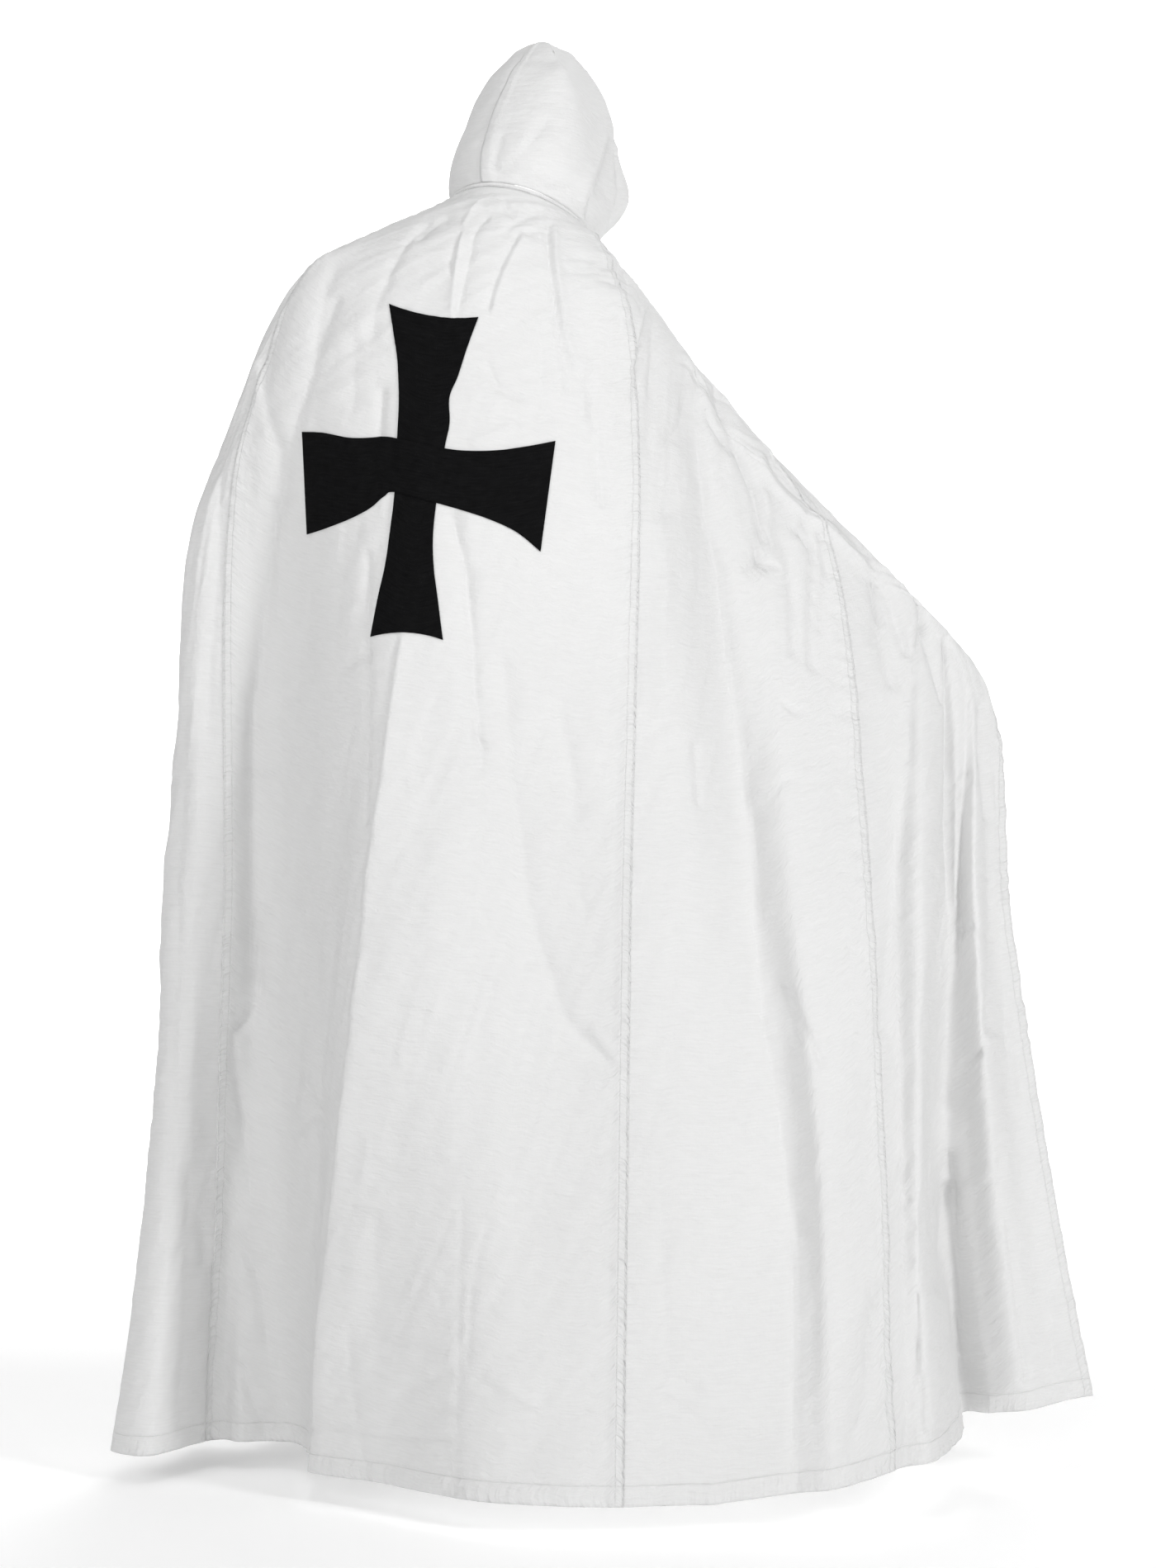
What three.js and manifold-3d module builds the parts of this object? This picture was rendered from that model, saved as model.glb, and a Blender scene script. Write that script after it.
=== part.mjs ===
// Hooded cape: a full-length cape of plain white cotton in five panels, with a two-piece hood
// and a black cross of two cloth pieces sewn on its back. It is worn and spread by the right arm.
// Millimetres. +Z is up, +Y is the wearer's back, +X the wearer's left. The origin is the middle
// of the neck.
import * as THREE from 'three';
import { mergeVertices } from 'three/addons/utils/BufferGeometryUtils.js';
import Module from 'manifold-3d';

// ---- cloth ----
const WALL = 2.0;
const CROSS_WALL = 1.2;
const SEAM_GAP = 0.3;
const CELLS_PER_FOLD = 3;
const CELLS_DOWN = [7, 8, 9];

// ---- neckline: a ring that rises at the nape and to the wearer's left ----
const NECK = { halfWidth: 92, halfDepth: 79, level: -12, backRise: 41, leftRise: 25 };
const NECK_ROLL = { radius: 4.5, sides: 8, steps: 60, end: 173 };
const NECK_START = 5.4;

// ---- levels the cape falls through ----
const HIP_LEVEL = -880;
const HEM = { level: -1563, lift: 65, liftFrom: -230, liftTo: -727 };
const FALL_EASE = 0.6;

// ---- fold lines, round the cape from the left front edge by the back to the right front edge.
// neck: place on the neck ring, degrees from the back, + to the wearer's left.
// lie: slope of the cloth where it leaves the neck, degrees. swell: fullness over the shoulder.
// drop: where the line leaves shoulder or arm and falls. hip, hem: where it passes those levels.
// sway: sideways drift between hip and hem.
const FOLD_COLUMNS = [
  'neck', 'lie', 'swell', 'dropX', 'dropY', 'dropZ', 'hipX', 'hipY', 'hemX', 'hemY', 'sway',
];
const FOLDS = {
  leftFrontEdge: [172, 48, 1.0, 62, -128, -215, 88, -250, 112, -338, 0],
  frontRidge: [160, 46, 1.0, 98, -140, -212, 142, -272, 178, -352, 6],
  frontValley: [148, 44, 1.1, 138, -128, -205, 196, -212, 238, -272, -6],
  sideFrontRidge: [136, 40, 1.2, 182, -122, -200, 262, -232, 312, -302, 0],
  sideFrontSeam: [126, 36, 1.3, 226, -104, -192, 306, -158, 352, -206, 0],
  armFrontRidge: [116, 32, 1.4, 285, -92, -205, 380, -160, 432, -216, -8],
  armFrontValley: [106, 26, 1.8, 340, -62, -255, 402, -84, 446, -108, 0],
  leftSide: [96, 25, 1.75, 405, -4, -347, 460, -20, 524, -2, -14],
  leftLobe: [84, 24, 1.8, 388, 46, -330, 430, 28, 468, 44, -8],
  leftSeam: [73, 23, 1.8, 342, 66, -272, 366, 16, 398, -58, 0],
  leftValley: [63, 28, 1.5, 300, 88, -256, 330, -4, 362, -42, 6],
  valleyFloor: [53, 32, 1.3, 262, 108, -250, 286, 36, 302, -46, 8],
  backFlank: [42, 38, 1.2, 215, 136, -245, 236, 132, 262, 26, 6],
  centreBackRidge: [23, 45, 1.1, 132, 162, -236, 189, 226, 257, 138, 4],
  backLeft: [8, 48, 1.1, 72, 170, -238, 107, 250, 152, 218, 0],
  backMiddle: [-10, 48, 1.1, 14, 166, -240, 28, 246, 60, 300, 0],
  backRight: [-30, 44, 1.2, -48, 150, -240, -50, 238, -34, 332, 0],
  rightSeam: [-50, 38, 1.3, -134, 112, -222, -122, 242, -112, 341, 0],
  bladeRidge: [-66, 36, 1.1, -178, 64, -190, -203, 238, -197, 330, 0],
  underArmValley: [-80, 38, 0.8, -216, 22, -196, -285, 190, -324, 322, -20],
  underArmRidge: [-92, 38, 0.5, -284, 6, -290, -338, 216, -374, 330, -10],
  armSeam: [-104, 38, 0.4, -378, -12, -377, -421, 176, -440, 280, 0],
  armValley: [-115, 38, 0.4, -450, -20, -450, -461, 122, -464, 258, 0],
  armRidge: [-125, 38, 0.3, -487, -25, -470, -494, 152, -502, 246, 10],
  lobeEdge: [-134, 44, 0.24, -515, -29, -488, -530, 82, -543, 134, 28],
  spreadTrough: [-143, 48, 0.26, -532, -32, -506, -546, 42, -566, -60, 24],
  flapEdge: [-151, 51, 0.3, -548, -35, -522, -555, 64, -600, 14, 14],
  flapRidge: [-159, 54, 0.4, -562, -38, -540, -570, 88, -641, 28, 8],
  flapValley: [-166, 56, 0.4, -586, -42, -568, -597, 26, -687, -4, 4],
  rightFrontEdge: [-172, 58, 0.4, -597, -45, -600, -624, 8, -731, -13, 5],
};

// ---- soft troughs pressed into the back, in its own sizes seen from behind ----
const TROUGH_COLUMNS = ['topX', 'topZ', 'footX', 'footZ', 'bow', 'width', 'depth'];
const TROUGHS = {
  waistDrift: [60, -400, -112, -1050, 42, 34, 13],
  elbowSwirl: [-272, -302, -296, -440, -10, 24, 10],
  hipPull: [-212, -330, -238, -600, 6, 26, 7],
};

// A trough deepens from its end over the share `over` of its length, starting `early` of the way.
const TROUGH_END = { over: 0.25, early: 0.5 };

// ---- panels, cut along the fold lines that are seams ----
const PANELS = [
  { name: 'left_front_panel', from: 'leftFrontEdge', to: 'sideFrontSeam' },
  { name: 'left_side_panel', from: 'sideFrontSeam', to: 'leftSeam' },
  { name: 'back_panel', from: 'leftSeam', to: 'rightSeam' },
  { name: 'right_side_panel', from: 'rightSeam', to: 'armSeam' },
  { name: 'right_front_panel', from: 'armSeam', to: 'rightFrontEdge' },
];

// ---- hood: level sections turned to the wearer's right ----
// seamNeck, brimNeck: where the centre seam and the brim meet the neck ring, degrees from the back.
// tilt: how much the sections follow the ring's slope. sections: the share of the way up where the
// sections start. clear: the share where the ring's form ends. turnBack: the share of the way round
// where the rounded back ends. taper: how much narrower the brim is than the back.
const HOOD = {
  turn: 30,
  seamNeck: 23,
  brimNeck: 172,
  tilt: 0.5,
  sections: 0.12,
  clear: 0.24,
  turnBack: 0.52,
  taper: 0.06,
  cellsRound: 13,
  cellsUp: 14,
};
// rise: height of the section. half: half its width. back, reach: how far it goes behind and
// before its middle; below 0, back brings the whole rounded back to the face. bow: how far the
// middle is moved to the face.
const HOOD_COLUMNS = ['rise', 'half', 'back', 'reach', 'bow'];
const HOOD_SECTIONS = [
  [38, 103, 90, 142, 9],
  [77, 92, 84, 112, 12],
  [118, 83, 64, 98, 15],
  [148, 75, 48, 94, 18],
  [183, 61, 30, 88, 22],
  [209, 42, 12, 82, 28],
  [228, 22, -6, 72, 32],
  [240, 0.4, -30, 56, 34],
];

// ---- cross: an upright and a bar, each wider at its ends; edges seen from behind, measured from
// its middle. A row's left and right, or top and foot, are two points across from each other.
// sag: how far the middle of a row hangs below its ends ----
const CROSS_MIDDLE = { x: 119, z: -349 };
const CUT_DEPTH = 400;
const UPRIGHT_COLUMNS = ['leftX', 'leftZ', 'rightX', 'rightZ', 'sag'];
const UPRIGHT = [
  [43, 227, -68, 207, 7],
  [36, 186, -55, 171, 0],
  [32, 155, -43, 133, 0],
  [29, 110, -33, 107, 0],
  [30, 74, -33, 74, 0],
  [31, 50, -28, 45, 0],
  [33, -10, -18, -24, 0],
  [40, -68, -14, -66, 0],
  [45, -102, -15, -102, 0],
  [54, -143, -20, -143, 0],
  [62, -187, -27, -192, -7],
];
const BAR_COLUMNS = ['topX', 'topZ', 'footX', 'footZ'];
const BAR = [
  [152, 72, 146, -56],
  [125, 69, 125, -52],
  [91, 60, 92, -42],
  [62, 59, 65, -30],
  [46, 59, 47, -15],
  [31, 57, 33, -10],
  [-27, 43, -18, -24],
  [-59, 40, -53, -34],
  [-96, 42, -85, -45],
  [-130, 47, -116, -60],
  [-162, 54, -144, -84],
];
// Where the bar climbs over the upright: middle is beside the cross's, over is half the raised
// stretch, slope the way up at each end of it.
const BAR_RISE = { middle: 5, over: 62, slope: 14 };

// ---- throat hook and eye, bent of round wire. sewn: where their ends lie on the neck roll. loop:
// half the height of the eye. round: how much its corners are rounded. nose: how far it passes the
// middle. clear: from the hook's wire to the eye's plane. bend: how far the hook's turn passes the
// middle. tip: where the hook's end points back to ----
const WIRE = {
  radius: 1.1,
  sides: 8,
  steps: 22,
  sewn: 166,
  loop: 3.5,
  round: 1,
  nose: 3,
  clear: 2.6,
  bend: 4,
  tip: -5,
};

const COLOURS = { cotton: 0xecebe8, black: 0x161617, steel: 0xa9abad };

const wasm = await Module();
wasm.setup();

const radians = (degrees) => (degrees * Math.PI) / 180;
const clamp01 = (t) => Math.min(1, Math.max(0, t));
const smooth = (t) => clamp01(t) * clamp01(t) * (3 - 2 * clamp01(t));

function named(columns, values) {
  return Object.fromEntries(columns.map((column, i) => [column, values[i]]));
}

// One value between b and c, with a and d beyond them, on a smooth curve.
function blend(a, b, c, d, t) {
  const bend = 2 * a - 5 * b + 4 * c - d;
  const turn = -a + 3 * b - 3 * c + d;
  return b + 0.5 * t * (c - a + t * (bend + t * turn));
}

// A row of a table at a place between its rows.
function between(columns, rows, place) {
  const last = rows.length - 1;
  const i = Math.min(Math.floor(place), last - 1);
  const before = rows[Math.max(i - 1, 0)];
  const after = rows[Math.min(i + 2, last)];
  const values = columns.map((_, k) => blend(before[k], rows[i][k], rows[i + 1][k], after[k], place - i));
  return named(columns, values);
}

function hermite(start, startPull, end, endPull, t) {
  const t2 = t * t;
  const t3 = t2 * t;
  return new THREE.Vector3()
    .addScaledVector(start, 2 * t3 - 3 * t2 + 1)
    .addScaledVector(startPull, t3 - 2 * t2 + t)
    .addScaledVector(end, 3 * t2 - 2 * t3)
    .addScaledVector(endPull, t3 - t2);
}

function neckPoint(degrees) {
  const a = radians(degrees);
  const z = NECK.level + NECK.backRise * Math.cos(a) + NECK.leftRise * Math.sin(a);
  return new THREE.Vector3(NECK.halfWidth * Math.sin(a), NECK.halfDepth * Math.cos(a), z);
}

// The level way out of the neck ring.
function neckOutward(degrees) {
  const a = radians(degrees);
  return new THREE.Vector3(Math.sin(a) / NECK.halfWidth, Math.cos(a) / NECK.halfDepth, 0).normalize();
}

// A level direction tipped down by a slope in degrees.
function sloped(level, degrees) {
  const tipped = level.clone().multiplyScalar(Math.cos(radians(degrees)));
  tipped.z = -Math.sin(radians(degrees));
  return tipped;
}

function hemLevel(x) {
  return HEM.level + HEM.lift * clamp01((HEM.liftFrom - x) / (HEM.liftFrom - HEM.liftTo));
}

// ---- the draped surface: around is a place among the fold lines, down runs 0 neck, 1 drop,
// 2 hip, 3 hem ----
const FOLD_NAMES = Object.keys(FOLDS);
const FOLD_ROWS = Object.values(FOLDS);

function drapePoint(around, down) {
  const fold = between(FOLD_COLUMNS, FOLD_ROWS, around);
  const ring = neckPoint(fold.neck);
  const drop = new THREE.Vector3(fold.dropX, fold.dropY, fold.dropZ);
  const hip = new THREE.Vector3(fold.hipX, fold.hipY, HIP_LEVEL);
  const hem = new THREE.Vector3(fold.hemX, fold.hemY, hemLevel(fold.hemX));
  const outward = neckOutward(fold.neck);
  const level = new THREE.Vector3(drop.x - ring.x, drop.y - ring.y, 0).normalize().add(outward).normalize();
  const leave = sloped(level, fold.lie);
  const neck = ring.clone().addScaledVector(sloped(outward, fold.lie), NECK_START);
  const fall = hip.clone().sub(neck).normalize();
  const swell = neck.distanceTo(drop) * fold.swell;
  if (down <= 1) {
    return hermite(neck, leave.multiplyScalar(swell), drop, fall.multiplyScalar(swell), down);
  }
  const upper = drop.distanceTo(hip);
  const lower = hip.distanceTo(hem);
  const along = hem.clone().sub(drop).divideScalar(upper + lower);
  if (down <= 2) {
    const pull = along.clone().multiplyScalar(upper);
    return hermite(drop, fall.multiplyScalar(upper * FALL_EASE), hip, pull, down - 1);
  }
  const t = down - 2;
  const point = hermite(hip, along.clone().multiplyScalar(lower), hem, hem.clone().sub(hip), t);
  point.x += fold.sway * Math.sin(Math.PI * t);
  return point;
}

const STEP = 0.02;
const LAST_FOLD = FOLD_ROWS.length - 1;

function drapeNormal(around, down) {
  const a0 = Math.max(around - STEP, 0);
  const a1 = Math.min(around + STEP, LAST_FOLD);
  const d0 = Math.max(down - STEP, 0);
  const d1 = Math.min(down + STEP, 3);
  const across = drapePoint(a1, down).sub(drapePoint(a0, down));
  const along = drapePoint(around, d1).sub(drapePoint(around, d0));
  return along.cross(across).normalize();
}

// How much of its depth a trough has at a share t of its length from one end.
function troughEnd(t) {
  return smooth(t / TROUGH_END.over + TROUGH_END.early);
}

function troughDepth(x, z) {
  let depth = 0;
  for (const values of Object.values(TROUGHS)) {
    const trough = named(TROUGH_COLUMNS, values);
    const runX = trough.footX - trough.topX;
    const runZ = trough.footZ - trough.topZ;
    const length = Math.hypot(runX, runZ);
    const t = ((x - trough.topX) * runX + (z - trough.topZ) * runZ) / (length * length);
    const side = ((x - trough.topX) * -runZ + (z - trough.topZ) * runX) / length;
    const off = (side - trough.bow * 4 * t * (1 - t)) / trough.width;
    const ends = troughEnd(t) * troughEnd(1 - t);
    depth += trough.depth * ends * Math.exp(-off * off);
  }
  return depth;
}

// A point of the cape with the way out of the cloth there.
function clothPoint(around, down) {
  const point = drapePoint(around, down);
  const out = drapeNormal(around, down);
  const press = troughDepth(point.x, point.z) * smooth(out.y * 2);
  point.addScaledVector(out, -press);
  return { point, out };
}

// ---- closed walls from a grid of outer and inner points ----
function wallGeometry(outer, inner) {
  const across = outer.length;
  const down = outer[0].length;
  const positions = [];
  for (const side of [outer, inner]) {
    for (const column of side) {
      for (const point of column) {
        positions.push(point.x, point.y, point.z);
      }
    }
  }
  const index = [];
  const out = (i, j) => i * down + j;
  const inn = (i, j) => across * down + i * down + j;
  const quad = (a, b, c, d) => index.push(a, b, c, b, d, c);
  for (let i = 0; i < across - 1; i += 1) {
    for (let j = 0; j < down - 1; j += 1) {
      quad(out(i, j), out(i, j + 1), out(i + 1, j), out(i + 1, j + 1));
      quad(inn(i, j), inn(i + 1, j), inn(i, j + 1), inn(i + 1, j + 1));
    }
    quad(out(i, 0), out(i + 1, 0), inn(i, 0), inn(i + 1, 0));
    quad(out(i + 1, down - 1), out(i, down - 1), inn(i + 1, down - 1), inn(i, down - 1));
  }
  for (let j = 0; j < down - 1; j += 1) {
    quad(inn(0, j + 1), out(0, j + 1), inn(0, j), out(0, j));
    quad(out(across - 1, j), out(across - 1, j + 1), inn(across - 1, j), inn(across - 1, j + 1));
  }
  const geometry = new THREE.BufferGeometry();
  geometry.setAttribute('position', new THREE.Float32BufferAttribute(positions, 3));
  geometry.setIndex(index);
  geometry.computeVertexNormals();
  return geometry;
}

function addPart(group, name, geometry, colour, look) {
  const material = new THREE.MeshStandardMaterial({ color: colour, ...look });
  const mesh = new THREE.Mesh(geometry, material);
  mesh.name = name;
  group.add(mesh);
}

// ---- cape panels ----
function downPlaces() {
  const places = [0];
  CELLS_DOWN.forEach((cells, stage) => {
    for (let k = 1; k <= cells; k += 1) {
      places.push(stage + k / cells);
    }
  });
  return places;
}

// The panel's grid, its two long edges drawn in by half the seam gap.
function panelGrid(panel) {
  const first = FOLD_NAMES.indexOf(panel.from);
  const last = FOLD_NAMES.indexOf(panel.to);
  const columns = (last - first) * CELLS_PER_FOLD;
  const places = downPlaces();
  const grid = [];
  for (let i = 0; i <= columns; i += 1) {
    grid.push(places.map((down) => clothPoint(first + i / CELLS_PER_FOLD, down)));
  }
  const drawIn = (edge, next) => {
    edge.forEach((spot, j) => {
      const toward = next[j].point.clone().sub(spot.point).normalize();
      spot.point.addScaledVector(toward, SEAM_GAP / 2);
    });
  };
  drawIn(grid[0], grid[1]);
  drawIn(grid[columns], grid[columns - 1]);
  return grid;
}

function offsetGrid(grid, amount) {
  return grid.map((column) => column.map((spot) => {
    const away = typeof amount === 'function' ? amount(spot) : amount;
    return spot.point.clone().addScaledVector(spot.out, away);
  }));
}

function panelGeometry(grid) {
  return wallGeometry(offsetGrid(grid, 0), offsetGrid(grid, -WALL));
}

// ---- the cross, cut from layers that lie on the back panel's own points ----
function toManifold(geometry) {
  geometry.deleteAttribute('normal');
  geometry.deleteAttribute('uv');
  const merged = mergeVertices(geometry);
  const mesh = new wasm.Mesh({
    numProp: 3,
    vertProperties: new Float32Array(merged.getAttribute('position').array),
    triVerts: new Uint32Array(merged.getIndex().array),
  });
  return new wasm.Manifold(mesh);
}

function fromManifold(solid) {
  const mesh = solid.getMesh();
  const geometry = new THREE.BufferGeometry();
  geometry.setAttribute('position', new THREE.Float32BufferAttribute(mesh.vertProperties, 3));
  geometry.setIndex([...mesh.triVerts]);
  geometry.computeVertexNormals();
  return geometry;
}

// An outline in x and z, cut right through the back of the cape.
function cutter(outline) {
  const shape = new THREE.Shape(outline.map(([x, z]) => new THREE.Vector2(x, z)));
  const geometry = new THREE.ExtrudeGeometry(shape, { depth: CUT_DEPTH, steps: 1, bevelEnabled: false });
  geometry.rotateX(Math.PI / 2).translate(0, CUT_DEPTH, 0);
  return toManifold(geometry);
}

function onCross(x, z) {
  return [CROSS_MIDDLE.x + x, CROSS_MIDDLE.z + z];
}

function rowMiddle(row) {
  return onCross((row.leftX + row.rightX) / 2, (row.leftZ + row.rightZ) / 2 - row.sag);
}

function uprightOutline() {
  const rows = UPRIGHT.map((values) => named(UPRIGHT_COLUMNS, values));
  const left = rows.map((row) => onCross(row.leftX, row.leftZ));
  const right = rows.map((row) => onCross(row.rightX, row.rightZ));
  return [rowMiddle(rows[0]), ...left, rowMiddle(rows[rows.length - 1]), ...right.reverse()];
}

function barOutline() {
  const rows = BAR.map((values) => named(BAR_COLUMNS, values));
  const top = rows.map((row) => onCross(row.topX, row.topZ));
  const foot = rows.map((row) => onCross(row.footX, row.footZ));
  return [...foot, ...top.reverse()];
}

// The bar climbs over the upright where the two cross.
function barLift(spot) {
  const across = Math.abs(spot.point.x - CROSS_MIDDLE.x - BAR_RISE.middle);
  const over = 1 - smooth((across - BAR_RISE.over) / BAR_RISE.slope);
  return SEAM_GAP + over * (CROSS_WALL + SEAM_GAP);
}

function crossPiece(grid, lift, outline) {
  const top = (spot) => lift(spot) + CROSS_WALL;
  const layer = toManifold(wallGeometry(offsetGrid(grid, top), offsetGrid(grid, lift)));
  return fromManifold(layer.intersect(cutter(outline)));
}

// ---- hood ----
const TURN = radians(HOOD.turn);
const HOOD_LEFT = new THREE.Vector3(Math.cos(TURN), -Math.sin(TURN), 0);
const HOOD_BACK = new THREE.Vector3(Math.sin(TURN), Math.cos(TURN), 0);

// side is 0 at the centre seam and 1 at the brim; left is 1 or -1; up runs 0 neck to 1 crown.
function hoodPoint(side, left, up) {
  const place = clamp01((up - HOOD.sections) / (1 - HOOD.sections)) * (HOOD_SECTIONS.length - 1);
  const section = between(HOOD_COLUMNS, HOOD_SECTIONS, place);
  const rounded = Math.max(section.back, 0);
  const forward = Math.min(section.back, 0);
  let across;
  let behind;
  if (side < HOOD.turnBack) {
    const a = (side / HOOD.turnBack) * Math.PI / 2;
    across = section.half * Math.sin(a);
    behind = rounded * Math.cos(a) + forward;
  } else {
    const t = (side - HOOD.turnBack) / (1 - HOOD.turnBack);
    across = section.half * (1 - HOOD.taper * t * t);
    behind = forward * (1 - t) - section.reach * t;
  }
  const shell = HOOD_LEFT.clone().multiplyScalar(across * left);
  shell.addScaledVector(HOOD_BACK, behind - section.bow);
  const neckTurn = HOOD.seamNeck + side * (left * HOOD.brimNeck - HOOD.seamNeck);
  const ring = neckPoint(neckTurn);
  ring.z += NECK_START;
  shell.z = section.rise + HOOD.tilt * (ring.z - NECK.level) * (1 - up);
  const clear = clamp01(up / HOOD.clear);
  return ring.lerp(shell, clear * (2 - clear));
}

function hoodNormal(side, left, up) {
  const s0 = Math.max(side - STEP, 0);
  const s1 = Math.min(side + STEP, 1);
  const u0 = Math.max(up - STEP, 0);
  const u1 = Math.min(up + STEP, 1);
  const around = hoodPoint(s1, left, up).sub(hoodPoint(s0, left, up));
  const rise = hoodPoint(side, left, u1).sub(hoodPoint(side, left, u0));
  return around.cross(rise).multiplyScalar(-left).normalize();
}

// No point of a hood half passes its centre seam.
function keepSide(point, left) {
  const away = point.dot(HOOD_LEFT) * left;
  const short = Math.max(0, SEAM_GAP / 2 - away);
  return point.addScaledVector(HOOD_LEFT, short * left);
}

function hoodGeometry(left) {
  const outer = [];
  const inner = [];
  for (let i = 0; i <= HOOD.cellsRound; i += 1) {
    const side = left > 0 ? 1 - i / HOOD.cellsRound : i / HOOD.cellsRound;
    const outerColumn = [];
    const innerColumn = [];
    for (let j = 0; j <= HOOD.cellsUp; j += 1) {
      const up = 1 - j / HOOD.cellsUp;
      const point = hoodPoint(side, left, up);
      const within = point.clone().addScaledVector(hoodNormal(side, left, up), -WALL);
      outerColumn.push(keepSide(point, left));
      innerColumn.push(keepSide(within, left));
    }
    outer.push(outerColumn);
    inner.push(innerColumn);
  }
  return wallGeometry(outer, inner);
}

// ---- round pieces: the rolled neck seam and the throat wire ----
function rod(points, radius, sides) {
  const section = new THREE.Shape();
  for (let k = 0; k <= sides; k += 1) {
    const a = (2 * Math.PI * k) / sides;
    const corner = [radius * Math.cos(a), radius * Math.sin(a)];
    if (k === 0) {
      section.moveTo(...corner);
    } else {
      section.lineTo(...corner);
    }
  }
  const extrudePath = new THREE.CatmullRomCurve3(points, false, 'centripetal');
  return new THREE.ExtrudeGeometry(section, { steps: points.length - 1, extrudePath, bevelEnabled: false });
}

function neckRollGeometry() {
  const points = [];
  for (let i = 0; i <= NECK_ROLL.steps; i += 1) {
    points.push(neckPoint(NECK_ROLL.end * (1 - (2 * i) / NECK_ROLL.steps)));
  }
  return rod(points, NECK_ROLL.radius, NECK_ROLL.sides);
}

function wireGeometry(corners) {
  const curve = new THREE.CatmullRomCurve3(corners, false, 'centripetal');
  return rod(curve.getPoints(WIRE.steps), WIRE.radius, WIRE.sides);
}

// Where a wire touches the inside of the neck roll.
function sewnPoint(degrees) {
  const point = neckPoint(degrees);
  point.y += NECK_ROLL.radius + WIRE.radius + SEAM_GAP;
  return point;
}

function eyeGeometry() {
  const root = sewnPoint(WIRE.sewn);
  const corner = (x, down) => new THREE.Vector3(x, root.y, root.z - down);
  const height = 2 * WIRE.loop;
  return wireGeometry([
    root,
    corner(WIRE.nose, WIRE.round),
    corner(0, height / 2),
    corner(WIRE.nose, height - WIRE.round),
    corner(root.x, height),
  ]);
}

// The hook goes through the loop of the eye and back.
function hookGeometry() {
  const root = sewnPoint(-WIRE.sewn);
  const eye = sewnPoint(WIRE.sewn);
  const level = eye.z - WIRE.loop;
  const corner = (x, behind) => new THREE.Vector3(x, eye.y + behind, level);
  return wireGeometry([
    root,
    corner(-WIRE.nose, WIRE.clear),
    corner(WIRE.nose, WIRE.clear),
    corner(WIRE.bend, 0),
    corner(WIRE.nose, -WIRE.clear),
    corner(WIRE.tip, -WIRE.clear),
  ]);
}

const group = new THREE.Group();
group.name = 'hooded_cape';
const cloth = { roughness: 0.92, metalness: 0, side: THREE.FrontSide };

for (const panel of PANELS) {
  const grid = panelGrid(panel);
  addPart(group, panel.name, panelGeometry(grid), COLOURS.cotton, cloth);
  if (panel.name === 'back_panel') {
    const upright = crossPiece(grid, () => SEAM_GAP, uprightOutline());
    addPart(group, 'cross_upright', upright, COLOURS.black, cloth);
    addPart(group, 'cross_bar', crossPiece(grid, barLift, barOutline()), COLOURS.black, cloth);
  }
}
addPart(group, 'hood_left', hoodGeometry(1), COLOURS.cotton, cloth);
addPart(group, 'hood_right', hoodGeometry(-1), COLOURS.cotton, cloth);
addPart(group, 'neck_roll', neckRollGeometry(), COLOURS.cotton, cloth);
const steel = { roughness: 0.35, metalness: 1 };
addPart(group, 'throat_eye', eyeGeometry(), COLOURS.steel, steel);
addPart(group, 'throat_hook', hookGeometry(), COLOURS.steel, steel);

export default group;
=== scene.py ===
"""Hooded cape of plain white cotton with a black cross on its back, worn and spread by the right arm.

The shapes are worked out in millimetres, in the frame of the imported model, and made in metres.
+Z is up, +Y is the wearer's back and +X the wearer's left. The origin is the middle of the neck.
"""

import math

import bpy
import numpy as np
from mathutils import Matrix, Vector
from mathutils.bvhtree import BVHTree


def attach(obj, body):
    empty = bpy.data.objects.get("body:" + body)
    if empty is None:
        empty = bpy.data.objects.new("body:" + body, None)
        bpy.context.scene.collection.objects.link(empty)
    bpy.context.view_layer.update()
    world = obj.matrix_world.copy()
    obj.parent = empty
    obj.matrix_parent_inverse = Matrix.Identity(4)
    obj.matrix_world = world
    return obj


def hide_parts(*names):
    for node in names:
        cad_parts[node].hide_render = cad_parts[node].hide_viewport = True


MM = 0.001
UPWARD = np.array((0.0, 0.0, 1.0))

# ---- cloth ----
CLOTH_THICK = 1.0
CROSS_THICK = 1.0
CROSS_CLEAR = 0.4
SEAM_GAP = 0.3
CELL = 4.7
HIDDEN_CELL = 9
LEAST_CELLS = 8
UPRIGHT_CELLS = (104, 26)
BAR_CELLS = (78, 30)

# ---- felled seams: the cloth of one panel runs on past the seam, over its neighbour ----
FELL_REACH = np.array((3.5, 7.0, 10.5, 13.5))
FELL_CLEAR = 0.5
FELL_RISE = 5.0
FELL_PUCKER = 2.0
FELL_EASE = 4
FELL_LADDER_RUN = 6.5
FELL_LADDER_SLANT = 30
FELL_LADDER_WIDTH = 26
FELL_UNEVEN = 0.55
FELL_UNEVEN_RUN = 140
FELL_UNEVEN_DRIFT = 900

# ---- neckline: a ring that rises at the nape and to the wearer's left, with a roll along it ----
NECK_HALF_WIDTH = 92
NECK_HALF_DEPTH = 79
NECK_LEVEL = -12
NECK_BACK_RISE = 41
NECK_LEFT_RISE = 25
NECK_START = 3.6
ROLL_RADIUS = 3.1
ROLL_END = 173
ROLL_CELLS_ROUND = 20
ROLL_CELLS_ALONG = 240
ROLL_TWIST = 0.22
ROLL_TWIST_RUN = 3.4
ROLL_LUMP_RUN = 14
ROLL_TAPER = 6
ROLL_MAP_START = 20
ROLL_FROM_EDGE = 60.0

# ---- levels the cape falls through, and the cells down its shoulder, its side and its skirt ----
HIP_LEVEL = -880
HEM_LEVEL = -1563
HEM_LIFT = 65
HEM_LIFT_FROM = -230
HEM_LIFT_TO = -727
FALL_EASE = 0.6
ROWS_DOWN = (82, 160, 168)

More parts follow.
